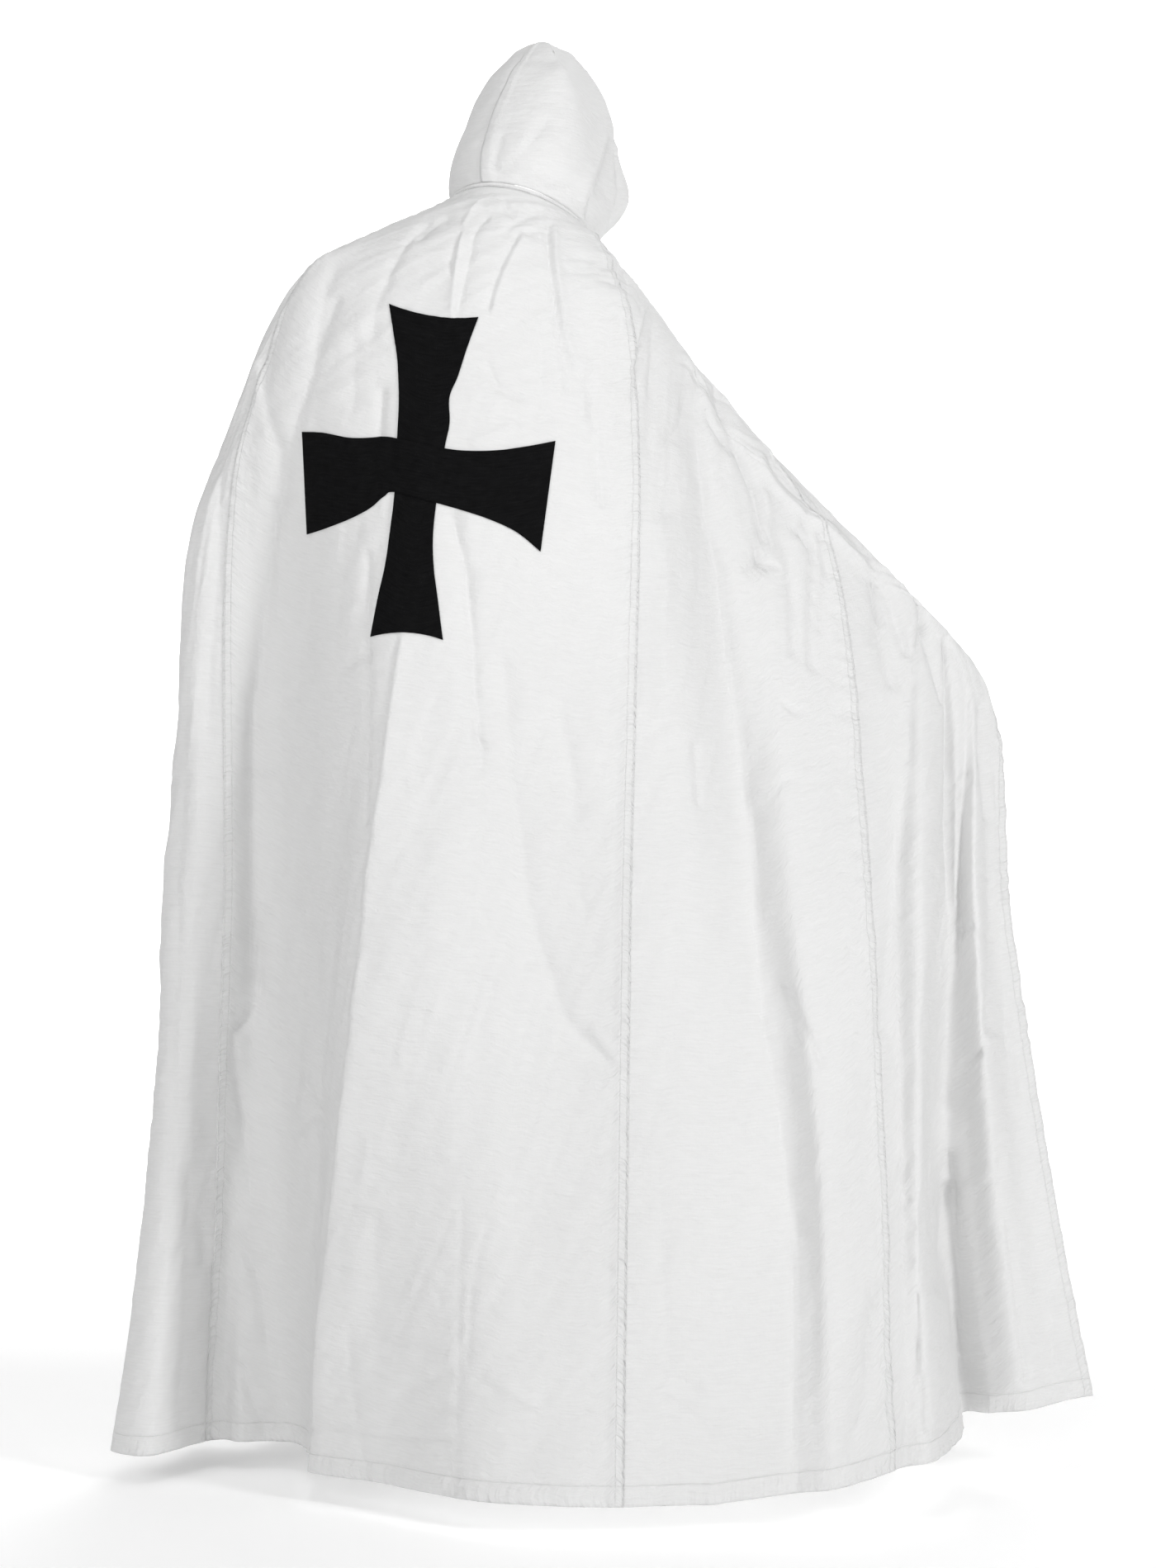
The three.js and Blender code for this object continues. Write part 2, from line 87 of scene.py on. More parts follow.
# ---- fold lines, round the cape from the left front edge by the back to the right front edge ----
# neck: place on the neck ring, degrees from the back. lie: slope where the cloth leaves the neck.
# swell: fullness over the shoulder. drop: where the line leaves shoulder or arm and falls.
# hip, hem: where it passes those levels. sway: sideways drift between them.
FOLD_COLUMNS = (
    "neck", "lie", "swell", "drop_x", "drop_y", "drop_z", "hip_x", "hip_y", "hem_x", "hem_y", "sway",
)
FOLDS = {
    "left_front_edge": (172, 48, 1.0, 62, -128, -215, 88, -250, 112, -338, 0),
    "front_ridge": (160, 46, 1.0, 98, -140, -212, 142, -272, 178, -352, 6),
    "front_valley": (148, 44, 1.1, 138, -128, -205, 196, -212, 238, -272, -6),
    "side_front_ridge": (136, 40, 1.2, 182, -122, -200, 262, -232, 312, -302, 0),
    "side_front_seam": (126, 36, 1.3, 226, -104, -192, 306, -158, 352, -206, 0),
    "arm_front_ridge": (116, 32, 1.4, 285, -92, -205, 380, -160, 432, -216, -8),
    "arm_front_valley": (106, 26, 1.8, 340, -62, -255, 402, -84, 446, -108, 0),
    "left_side": (96, 25, 1.75, 405, -4, -347, 460, -20, 524, -2, -14),
    "left_lobe": (84, 24, 1.8, 388, 46, -330, 430, 28, 468, 44, -8),
    "left_seam": (73, 23, 1.8, 342, 66, -272, 366, 16, 398, -58, 0),
    "left_valley": (63, 28, 1.5, 300, 88, -256, 330, -4, 362, -42, 6),
    "valley_floor": (53, 32, 1.3, 262, 108, -250, 286, 36, 302, -46, 8),
    "back_flank": (42, 38, 1.2, 215, 136, -245, 236, 132, 262, 26, 6),
    "centre_back_ridge": (23, 45, 1.1, 132, 162, -236, 189, 226, 257, 138, 4),
    "back_left": (8, 48, 1.1, 72, 170, -238, 107, 250, 152, 218, 0),
    "back_middle": (-10, 48, 1.1, 14, 166, -240, 28, 246, 60, 300, 0),
    "back_right": (-30, 44, 1.2, -48, 150, -240, -50, 238, -34, 332, 0),
    "right_seam": (-50, 38, 1.3, -134, 112, -222, -122, 242, -112, 341, 0),
    "blade_ridge": (-66, 36, 1.1, -178, 64, -190, -203, 238, -197, 330, 0),
    "under_arm_valley": (-80, 38, 0.8, -216, 22, -196, -285, 190, -324, 322, -20),
    "under_arm_ridge": (-92, 38, 0.5, -284, 6, -290, -338, 216, -374, 330, -10),
    "arm_seam": (-104, 38, 0.4, -378, -12, -377, -421, 176, -440, 280, 0),
    "arm_valley": (-115, 38, 0.4, -450, -20, -450, -461, 140, -464, 258, 0),
    "arm_ridge": (-125, 38, 0.3, -487, -25, -470, -494, 152, -502, 246, 10),
    "lobe_edge": (-134, 44, 0.24, -515, -29, -488, -530, 82, -543, 134, 28),
    "spread_trough": (-143, 48, 0.26, -532, -32, -506, -546, 68, -566, -14, 24),
    "flap_edge": (-151, 51, 0.3, -548, -35, -522, -555, 64, -600, 14, 14),
    "flap_ridge": (-159, 54, 0.4, -562, -38, -540, -570, 88, -641, 28, 8),
    "flap_valley": (-166, 56, 0.4, -586, -42, -568, -597, 26, -687, -4, 4),
    "right_front_edge": (-172, 58, 0.4, -597, -45, -600, -624, 8, -731, -13, 5),
}
FOLD_NAMES = list(FOLDS)
FOLD_ROWS = np.array(list(FOLDS.values()), float)

# ---- places "seen from behind": on a sheet 210 mm behind the neck, looked at from this eye ----
EYE = np.array((-71.6, 4200.0, -715.3))
EYE_REACH = 3990.0
SHOWN_FROM = 0.02
HOOD_SHOWN_FROM = -0.1
SHOWN_EASE = 0.3

# ---- creases of the cape, seen from behind, on that sheet, each from its upper to its lower end ----
# bow: how far its middle swings, left and right: the width of its two flanks, depth: + for a ridge.
# Where a row ends the next may carry on, so that a long crease takes several rows.
# Columns: x0, z0, x1, z1, bow, left, right, depth.
CREASE_CRISP = 1.35
CREASE_WANDER = 0.15
CREASE_WANDER_RUN = 31
CREASE_TAIL = 4
CREASE_MARGIN = 10
CREASE_FADE = 1.2
CREASE_LEAST_FADE = 6
CREASE_UNEVEN = 0.12
CREASE_UNEVEN_RUN = 47
SHOULDER_CREASES = (
    (218, -80, 249, -190, 5, 8, 14, -5),
    (218, -126, 262, -256, 4, 10, 9, -6),
    (262, -256, 290, -386, 3, 9, 9, -6),
    (264, -93, 306, -216, 5, 9, 8, -6),
    (306, -216, 291, -310, 6, 8, 7, -6),
    (291, -310, 296, -420, -2, 8, 8, -4),
    (316, -200, 300, -300, 5, 7, 5, 4),
    (109, -33, 141, -68, 2, 5, 6, -4),
    (141, -68, 162, -112, 2, 9, 7, -5),
    (162, -112, 182, -180, 3, 10, 10, -4),
    (80, -28, 124, -56, 3, 7, 7, -5),
    (44, -8, 70, -52, 5, 5, 4, 4),
    (70, -52, 80, -150, 3, 6, 4, 4),
    (36, -28, 58, -66, 4, 4, 5, -4),
    (58, -66, 76, -146, 0, 4, 6, -5),
    (66, -40, 82, -100, 4, 6, 4, -4),
    (-2, -47, 38, -142, 5, 5, 3, -4.5),
    (-8, -50, 32, -140, 5, 4, 6, 3),
    (-8, -48, -40, -34, 2, 4, 4, -4),
    (-22, -23, 20, -49, 2, 5, 6, -5),
    (20, -12, 6, -30, 0, 4, 5, -4),
    (-36, -38, -44, -118, 2, 6, 2.6, -6),
    (-44, -118, -58, -206, 2, 5, 2.4, -6),
    (-58, -206, -58, -240, -3, 4, 4, -6),
    (-43, -44, -52, -118, 2, 4, 5, 4),
    (-52, -118, -66, -206, 2, 4, 5, 4),
    (-62, -78, -142, -102, -6, 5, 5, -5),
    (-52, -96, -142, -109, -8, 5, 5, -6),
    (-86, -80, -110, -72, 2, 4, 4, -4),
    (-70, -88, -120, -92, -3, 4, 4, -4),
    (-96, -104, -140, -118, -5, 4, 4, -4),
    (-112, -111, -148, -146, -12, 4, 5, -5),
    (-122, -96, -150, -130, -8, 4, 5, -4),
    (-160, -134, -142, -218, 2, 4, 8, -7),
    (-153, -134, -136, -206, 0, 5, 4, 5),
    (-142, -218, -138, -250, 0, 4, 5, -4),
    (-167, -136, -160, -246, 0, 5, 7, -6),
    (-160, -246, -157, -316, 0, 6, 7, -4),
    (-84, -216, -95, -300, 2, 8, 6, -6),
    (-95, -300, -98, -376, 0, 8, 7, -7),
    (-78, -200, -85, -290, 2, 6, 6, 4),
    (31, -234, -4, -250, 0, 4, 6, -5),
    (38, -206, 28, -230, 0, 5, 5, -4),
    (28, -276, -40, -270, 2, 6, 5, -4),
    (58, -300, 10, -278, 4, 5, 5, 3),
    (18, -290, -6, -292, 0, 5, 5, -3),
    (-24, -166, -30, -260, 0, 9, 9, -4),
    (166, -236, 168, -298, 0, 6, 5, -7),
    (200, -170, 202, -260, 0, 10, 10, -3),
)
BACK_CREASES = (
    (141, -534, 158, -646, 0, 4, 12, 5),
    (158, -646, 183, -826, -2, 4, 14, 7),
    (183, -826, 206, -1046, -2, 4, 14, 8),
    (206, -1046, 235, -1326, 0, 4, 14, 8),
    (235, -1326, 253, -1570, 0, 4, 14, 8),
    (183, -430, 184, -766, 0, 5, 4, -4),
    (215, -580, 181, -556, 0, 4, 4, -5),
    (80, -386, 62, -466, 0, 10, 8, -9),
    (62, -466, 50, -620, 0, 9, 7, -9),
    (50, -620, 46, -700, 0, 7, 7, -6),
    (54, -652, 38, -672, 0, 4, 3, -5),
    (18, -560, 6, -720, 2, 16, 14, -6),
    (6, -720, -20, -880, 3, 22, 18, -7),
    (-20, -880, -52, -990, 3, 20, 13, -7),
    (-52, -990, -112, -1054, 3, 14, 9, -5),
    (-88, -1008, -118, -1052, 2, 4, 6, 3),
    (-52, -616, -70, -760, 0, 12, 10, -4),
    (-2, -936, -24, -933, 0, 4, 4, -4),
    (-72, -850, -84, -868, 0, 4, 4, -3),
    (-130, -406, -141, -616, 0, 10, 10, -5),
    (-170, -396, -182, -660, 0, 17, 17, 6),
    (-170, -384, -226, -387, 0, 3, 3, -2),
    (-147, -664, -190, -624, 4, 4, 5, -3),
    (-212, -666, -218, -746, -1, 5, 5, -4),
    (-219, -216, -228, -366, 2, 16, 5, -10),
    (-228, -366, -246, -466, 2, 22, 5, -11),
    (-246, -466, -268, -640, 2, 26, 6, -11),
    (-268, -640, -282, -760, 2, 20, 6, -9),
    (-282, -760, -296, -1000, 0, 14, 7, -7),
    (-296, -1000, -322, -1160, 0, 6, 9, -7),
    (-322, -1160, -335, -1270, 0, 9, 14, -8),
    (-335, -1270, -335, -1570, 0, 5, 5, -8),
    (-319, -956, -338, -1030, 0, 4, 5, -5),
    (-322, -960, -370, -1056, 3, 4, 6, -4),
    (-96, -1292, -140, -1336, 0, 5, 7, -2),
    (-122, -1404, -222, -1452, 0, 9, 8, -2.5),
    (-172, -1456, -224, -1488, 0, 6, 7, -2.5),
    (-132, -1476, -236, -1502, -3, 5, 5, -2),
    (-236, -1502, -334, -1506, 0, 5, 5, -1.5),
    (-173, -1240, -180, -1420, 0, 12, 9, -2.5),
    (178, -1390, 88, -1408, -3, 5, 5, -2),
    (148, -1452, 82, -1424, 3, 8, 8, -3),
    (118, -1460, 76, -1478, 3, 6, 7, -2.5),
    (70, -1216, 76, -1574, 0, 5, 5, -1.8),
    (36, -1242, 58, -1330, 2, 5, 5, -2),
    (58, -1330, 62, -1420, 0, 5, 5, -2),
    (92, -1506, 78, -1572, 0, 5, 5, -2),
    (206, -1370, 196, -1500, 3, 5, 6, -2),
    (196, -1500, 182, -1566, 0, 5, 6, -2),
    (182, -1146, 196, -1216, 0, 5, 5, 2),
    (176, -1236, 176, -1400, 0, 18, 16, -3),
    (253, -1497, 80, -1511, 0, 3, 3, -3),
    (38, -1431, -22, -1471, 0, 6, 6, 3),
)
VALLEY_CREASES = (
    (293, -370, 304, -460, 0, 12, 8, -8),
    (304, -460, 316, -600, 0, 12, 9, -10),
    (318, -600, 322, -760, 0, 14, 8, -12),
    (322, -760, 316, -970, 0, 14, 6, -11),
    (316, -970, 343, -1018, -4, 5, 5, -6),
    (345, -1020, 334, -1120, 2, 5, 5, -6),
    (334, -1120, 326, -1210, 0, 6, 6, -6),
    (337, -1260, 318, -1312, 2, 5, 6, -6),
    (318, -1312, 306, -1400, -2, 5, 6, -4),
    (285, -1050, 240, -1104, 0, 5, 5, -4),
    (242, -1114, 268, -1138, 0, 6, 6, -4),
    (338, -1416, 305, -1506, 2, 5, 5, -5),
    (368, -1300, 373, -1510, 0, 6, 5, -6),
    (383, -1246, 382, -1300, 0, 5, 6, -4),
    (250, -880, 240, -1060, 0, 12, 10, -4),
    (406, -616, 424, -1266, 0, 10, 10, -4),
    (388, -700, 400, -1200, 0, 11, 11, 3),
    (360, -270, 380, -660, -4, 9, 9, -4),
    (374, -170, 398, -360, -4, 8, 8, -4),
    (398, -1180, 406, -1500, 0, 9, 9, -5),
)
ARM_CREASES = (
    (-208, -246, -178, -300, -6, 10, 14, -7),
    (-230, -270, -250, -300, 0, 5, 6, -8),
    (-242, -303, -262, -310, 0, 4, 5, -6),
    (-240, -236, -265, -306, 1, 7, 5, -11),
    (-265, -306, -289, -366, 0, 5, 4, -14),
    (-289, -366, -291, -452, -4, 4, 4, -12),
    (-297, -360, -300, -440, -3, 4, 5, 7),
    (-274, -460, -312, -450, -6, 4, 4, -6),
    (-289, -314, -329, -374, 5, 5, 6, 7),
    (-329, -374, -374, -402, 2, 5, 6, 7),
    (-374, -402, -424, -452, 2, 5, 6, 7),
    (-304, -322, -350, -372, 3, 6, 8, -8),
    (-350, -372, -384, -398, 2, 5, 6, -7),
    (-320, -421, -334, -560, -4, 6, 6, -6),
    (-332, -410, -357, -438, -6, 4, 4, -6),
    (-357, -438, -356, -576, 2, 4, 4, -8),
    (-346, -380, -351, -430, 0, 4, 4, -6),
    (-364, -410, -372, -470, -2, 4, 4, -6),
    (-371, -470, -364, -530, -2, 4, 4, -6),
    (-322, -616, -337, -628, 0, 3, 3, -6),
    (-434, -472, -438, -520, 0, 5, 5, -15),
    (-438, -520, -456, -600, 2, 8, 6, -11),
    (-446, -478, -470, -560, 2, 5, 5, -8),
    (-489, -516, -473, -620, 2, 4, 7, -8),
    (-473, -620, -470, -690, 0, 4, 9, -8),
    (-470, -690, -458, -800, 0, 5, 11, -6),
    (-458, -800, -446, -920, 0, 7, 11, -5),
    (-446, -920, -440, -1020, 0, 10, 9, -7),
    (-517, -540, -519, -700, 0, 4, 5, -11),
    (-519, -700, -521, -860, 0, 5, 6, -9),
    (-521, -860, -519, -1110, 0, 14, 8, -5),
    (-482, -486, -514, -620, 2, 4, 5, -7),
    (-522, -720, -545, -700, 0, 4, 4, -4),
    (-562, -616, -568, -760, 0, 5, 5, -10),
    (-568, -760, -572, -1020, 0, 7, 8, -5),
    (-578, -700, -592, -1040, 0, 4, 4, -5),
    (-584, -860, -600, -1100, 0, 4, 4, 4),
    (-504, -1100, -497, -1220, 0, 8, 8, -5),
    (-497, -1220, -485, -1330, 0, 10, 10, -5),
    (-485, -1330, -478, -1440, 0, 6, 6, -8),
    (-520, -1200, -508, -1330, 0, 7, 7, -8),
    (-522, -1160, -528, -1300, 0, 5, 4, -8),
    (-528, -1300, -538, -1480, 0, 4, 4, -7),
    (-492, -1430, -496, -1500, 0, 5, 5, -7),
    (-582, -1146, -586, -1250, 0, 9, 9, -3),
    (-594, -1246, -614, -1440, 0, 5, 5, -6),
    (-640, -1330, -652, -1420, 0, 7, 7, -4),
    (-547, -1051, -568, -1030, 0, 4, 4, -5),
    (-532, -900, -556, -886, 0, 4, 4, -4),
    (-432, -1320, -426, -1420, 0, 9, 4, -7),
    (-426, -1420, -402, -1530, -2, 10, 8, -6),
    (-446, -1226, -478, -1166, 0, 4, 4, -4),
    (-450, -1250, -474, -1216, 0, 4, 4, -4),
    (-452, -1280, -480, -1250, 0, 4, 4, -4),
    (-448, -1310, -476, -1290, 0, 4, 4, -4),
    (-452, -1200, -468, -1176, 0, 4, 4, -3),
)

# ---- the fold-lines left from storage. Columns: level, width, depth ----
PACKING_CREASES = ((-300, 5, -0.8), (-711, 5, -1.0), (-1076, 5, -0.8), (-1206, 6, -1.1), (-1466, 5, -0.8))
PACKING_WANDER = 5
PACKING_WANDER_RUN = 140
PACKING_UNEVEN = 0.45
PACKING_UNEVEN_RUN = 90

# ---- creases of the hidden sides: how many, and the least and the most of each measure ----
HIDDEN_COUNT = 46
HIDDEN_TOP = (40, 1000)
HIDDEN_LENGTH = (160, 560)
HIDDEN_WIDTH = (6, 18)
HIDDEN_DEPTH = (3.0, 8.0)
HIDDEN_SIGNS = (-1, -1, 1)
HIDDEN_LEAN = (-0.08, 0.08)
HIDDEN_SPREAD = 1.2
HIDDEN_BOW = 14
HIDDEN_ENDS = 4

# ---- waves of the crushed cloth: length across, length down, height ----
SLOW_WAVES = (62, 210, 2.0)
SOFT_WAVES = (27, 74, 1.0)
SOFT_BEND = (80, 80, 8.1)
FINE_WAVES = (12, 27, 0.4)
LONG_WAVES = (9, 150, 0.6)
LEVEL_WAVES = (46, 11, 0.9)
LEVEL_PATCHES = (120, 160, 1.0)
LEVEL_FROM = 700
LEVEL_EASE = 500
RIDGE_WAVES = (44, 66, 1.0)
RIDGE_BEND = (50, 50, 44.0)
RIDGE_HEIGHT = 0.7
NECK_PLAIN = 22

# ---- panels, cut along the fold lines that are seams ----
# laps: whether its cloth runs on over the neighbour at its first seam and at its last seam.
# Columns: name, first seam, last seam, laps, flat width, flat length, flat area (m and m2).
PANELS = (
    ("left_front_panel", "left_front_edge", "side_front_seam", (False, False), 0.38, 1.66, 0.44),
    ("left_side_panel", "side_front_seam", "left_seam", (True, False), 0.57, 1.76, 0.62),
    ("back_panel", "left_seam", "right_seam", (True, True), 0.80, 1.76, 1.04),
    ("right_side_panel", "right_seam", "arm_seam", (False, True), 0.42, 1.70, 0.52),
    ("right_front_panel", "arm_seam", "right_front_edge", (False, False), 0.62, 1.78, 0.50),
)

# ---- how strongly each seam is puckered, at its top and at its foot ----
SEAM_PUCKERS = {
    "left_front_edge": (0.8, 0.8),
    "side_front_seam": (0.7, 0.8),
    "left_seam": (0.8, 0.9),
    "right_seam": (0.9, 1.5),
    "arm_seam": (1.0, 2.2),
    "right_front_edge": (1.2, 2.0),
}
PUCKER_REACH = 12
PUCKER_REACH_RUN = 60
PUCKER_RUN = 11
PUCKER_SLANT = 40
PUCKER_WIDTH = 34
HEM_GATHER = (16, 30, 1.3)
HEM_REACH = 22
NECK_GATHER = (7.5, 90, 1.9)
NECK_REACH = 38
NECK_EASE = 10

# ---- hood: level sections, turned to the wearer's right with the head ----
HOOD_TURN = math.radians(30)
HOOD_TO_LEFT = np.array((math.cos(HOOD_TURN), -math.sin(HOOD_TURN), 0))
HOOD_TO_BACK = np.array((math.sin(HOOD_TURN), math.cos(HOOD_TURN), 0))
HOOD_FOOT = 3.3
HOOD_SEAM_NECK = 23
HOOD_BRIM_NECK = 172
HOOD_TILT = 0.5
HOOD_TURN_BACK = 0.52
HOOD_TAPER = 0.06
HOOD_NECK_SHARE = 0.12
HOOD_CLEAR = 0.24
HOOD_LAP = np.array((-0.05, -0.0375, -0.025, -0.0125))
HOOD_LAP_RISE = 1.2
HOOD_LAP_EASE = 0.02
HOOD_MAP_START = 80
HOOD_FOOT_START = 30
HOOD_CLOSED_FROM = 0.9
HOOD_ROUND = 74
HOOD_UP = 66
HOOD_WAVES = (34, 46, 1.5)
HOOD_FINE_WAVES = (15, 19, 0.5)
HOOD_HALF_SHIFT = 306
HOOD_SEAM_WAVES = (9, 30, 0.6)
HOOD_SEAM_REACH = 14
HOOD_SEAM_PLAIN = 20
HOOD_CROWN_EASE = 12
HOOD_CROWN_PLAIN = 40
HOOD_FOOT_PLAIN = 18
# Columns: rise, half, back, reach, bow.
HOOD_SECTIONS = np.array((
    (38, 103, 90, 142, 9),
    (77, 92, 84, 112, 12),
    (118, 83, 64, 98, 15),
    (148, 75, 48, 94, 18),
    (183, 61, 30, 88, 22),
    (209, 42, 12, 82, 28),
    (228, 26, -4, 72, 32),
    (237, 14, -16, 64, 33),
    (241, -1.2, -30, 56, 34),
), float)
HOOD_CREASES = (
    (31, 16, -37, 91, 2, 5, 6, -5),
    (24, 28, -10, 70, 2, 5, 5, 3),
    (-12, 0, -70, 10, 0, 3, 4, -4),
    (-108, 74, -84, 2, -1, 6, 4, 5),
    (-114, 72, -91, 2, -1, 4, 7, -7),
    (-83, -6, -75, -48, 2, 4, 3, 5),
    (-89, -4, -81, -46, 2, 3, 5, -6),
    (-78, -14, -64, -46, 0, 4, 5, -6),
    (-120, 49, -122, -6, 0, 4, 5, -6),
    (-122, -6, -96, -62, -6, 4, 6, -7),
    (-94, 2, -118, -9, 0, 3, 3, -4),
    (-108, 26, -118, 16, 0, 3, 3, -3),
    (3, 160, -46, 165, 0, 12, 5, -2.5),
    (-22, 171, -68, 156, -2, 5, 4, -1.4),
    (-36, 174, -74, 160, 3, 4, 4, -0.8),
    (20, 74, 32, 24, 2, 6, 5, -4),
    (45, 62, 28, 66, 0, 3, 3, -3),
    (-45, -18, -47, -36, 0, 3, 3, -3),
    (-54, -20, -55, -38, 0, 3, 3, -3),
    (-62, -22, -61, -40, 0, 3, 3, -3),
    (52, 20, 40, 84, -3, 9, 9, -3),
)

# ---- cross: an upright and a bar, each wider at its ends; edges seen from behind, from the middle ----
CROSS_X = 118
CROSS_Z = -349
# Columns: left x, left z, right x, right z, sag.
UPRIGHT = np.array((
    (39, 215, -69, 199, 7),
    (33, 176, -56, 164, 0),
    (29, 147, -44, 127, 0),
    (27, 104, -34, 102, 0),
    (28, 72, -34, 70, 0),
    (29, 54, -28, 40, 0),
    (32, -13, -18, -26, 0),
    (39, -70, -14, -67, 0),
    (44, -104, -15, -104, 0),
    (53, -144, -20, -144, 0),
    (61, -188, -26, -192, -7),
), float)
# Columns: top x, top z, foot x, foot z.
BAR = np.array((
    (144, 60, 138, -64),
    (119, 59, 119, -58),
    (87, 53, 88, -46),
    (60, 53, 63, -33),
    (44, 54, 45, -18),
    (29, 52, 32, -13),
    (-28, 40, -18, -26),
    (-59, 37, -53, -36),
    (-96, 38, -85, -47),
    (-130, 43, -116, -62),
    (-162, 49, -144, -85),
), float)

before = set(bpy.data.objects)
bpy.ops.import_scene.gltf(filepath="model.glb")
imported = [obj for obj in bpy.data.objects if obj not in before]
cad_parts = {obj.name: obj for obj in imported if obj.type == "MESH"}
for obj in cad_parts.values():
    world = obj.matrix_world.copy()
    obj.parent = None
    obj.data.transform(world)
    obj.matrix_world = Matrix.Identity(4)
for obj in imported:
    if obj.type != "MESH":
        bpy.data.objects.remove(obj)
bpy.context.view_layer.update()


# ---------------------------------------------------------------- curves and noise
def smooth(t):
    t = np.clip(t, 0, 1)
    return t * t * (3 - 2 * t)


def between(rows, places):
    """Rows of a table at places between its rows, on a smooth curve through them."""
    places = np.atleast_1d(np.asarray(places, float))
    last = len(rows) - 1
    i = np.minimum(np.floor(places).astype(int), last - 1)
    t = (places - i)[:, None]
    a, b = rows[np.maximum(i - 1, 0)], rows[i]
    c, d = rows[i + 1], rows[np.minimum(i + 2, last)]
    bend = 2 * a - 5 * b + 4 * c - d
    turn = -a + 3 * b - 3 * c + d
    return b + 0.5 * t * (c - a + t * (bend + t * turn))


def hermite(start, start_pull, end, end_pull, t):
    """Points at each t on a curve from start to end, one curve for each row of start."""
    t = np.asarray(t, float)[None, :, None]
    start, start_pull, end, end_pull = (p[:, None, :] for p in (start, start_pull, end, end_pull))
    rise = t * t * (3 - 2 * t)
    return start * (1 - rise) + start_pull * t * (1 - t) ** 2 + end * rise - end_pull * t * t * (1 - t)


def ripple(a, b, seed):
    """Smooth uneven waves from -1 to 1, one wave to each unit of a and b."""
    lattice = np.random.RandomState(seed).uniform(-1, 1, (97, 89))
    i, j = np.floor(a).astype(int), np.floor(b).astype(int)
    u, v = smooth(a - i), smooth(b - j)
    i0, i1, j0, j1 = i % 97, (i + 1) % 97, j % 89, (j + 1) % 89
    low = lattice[i0, j0] * (1 - u) + lattice[i1, j0] * u
    high = lattice[i0, j1] * (1 - u) + lattice[i1, j1] * u
    return low * (1 - v) + high * v


def waves(a, b, shape, seed):
    """Ripples of the cloth. shape: their length along a, their length along b and their height."""
    return ripple(a / shape[0], b / shape[1], seed) * shape[2]


def fading(away, reach):
    """1 at an edge, falling to 0 past a reach from it."""
    return np.exp(-((away / reach) ** 2))


def unit(vectors):
    return vectors / np.maximum(np.linalg.norm(vectors, axis=-1, keepdims=True), 1e-9)


def seen_from_behind(points):
    """Where points show, in x and z, on a sheet held just behind the cape."""
    spread = EYE_REACH / (EYE[1] - points[..., 1])
    x = EYE[0] + (points[..., 0] - EYE[0]) * spread
    z = EYE[2] + (points[..., 2] - EYE[2]) * spread
    return x, z


def creased(x, z, table):
    """The height that a table of creases adds at x, z."""
    height = np.zeros_like(x)
    for x0, z0, x1, z1, bow, left, right, depth in table:
        reach = CREASE_TAIL * max(left, right) + abs(bow) + CREASE_MARGIN
        near = (x > min(x0, x1) - reach) & (x < max(x0, x1) + reach)
        near &= (z > min(z0, z1) - reach) & (z < max(z0, z1) + reach)
        at_x, at_z = x[near] - x0, z[near] - z0
        run_x, run_z = x1 - x0, z1 - z0
        length = math.hypot(run_x, run_z)
        t = (at_x * run_x + at_z * run_z) / length**2
        wander = CREASE_WANDER * min(left, right) * np.sin(t * length / CREASE_WANDER_RUN + x0)
        off = (at_z * run_x - at_x * run_z) / length - bow * 4 * t * (1 - t) + wander
        flank = np.abs(off) / np.where(off > 0, left, right)
        fade = CREASE_FADE * max(left, right) + CREASE_LEAST_FADE
        ends = smooth(t * length / fade + 0.5) * smooth((1 - t) * length / fade + 0.5)
        uneven = 1 - CREASE_UNEVEN * (1 - np.sin(t * length / CREASE_UNEVEN_RUN + z1))
        height[near] += depth * ends * uneven * np.exp(-(flank**CREASE_CRISP))
    return height


# ---------------------------------------------------------------- the draped cape
def neck_point(degrees):
    a = np.radians(degrees)
    z = NECK_LEVEL + NECK_BACK_RISE * np.cos(a) + NECK_LEFT_RISE * np.sin(a)
    return np.stack([NECK_HALF_WIDTH * np.sin(a), NECK_HALF_DEPTH * np.cos(a), z], -1)


def sloped(level, degrees):
    a = np.radians(degrees)[:, None]
    tipped = unit(level) * np.cos(a)
    tipped[:, 2] = -np.sin(a)[:, 0]
    return tipped


def hem_level(x):
    lift = np.clip((HEM_LIFT_FROM - x) / (HEM_LIFT_FROM - HEM_LIFT_TO), 0, 1)
    return HEM_LEVEL + HEM_LIFT * lift


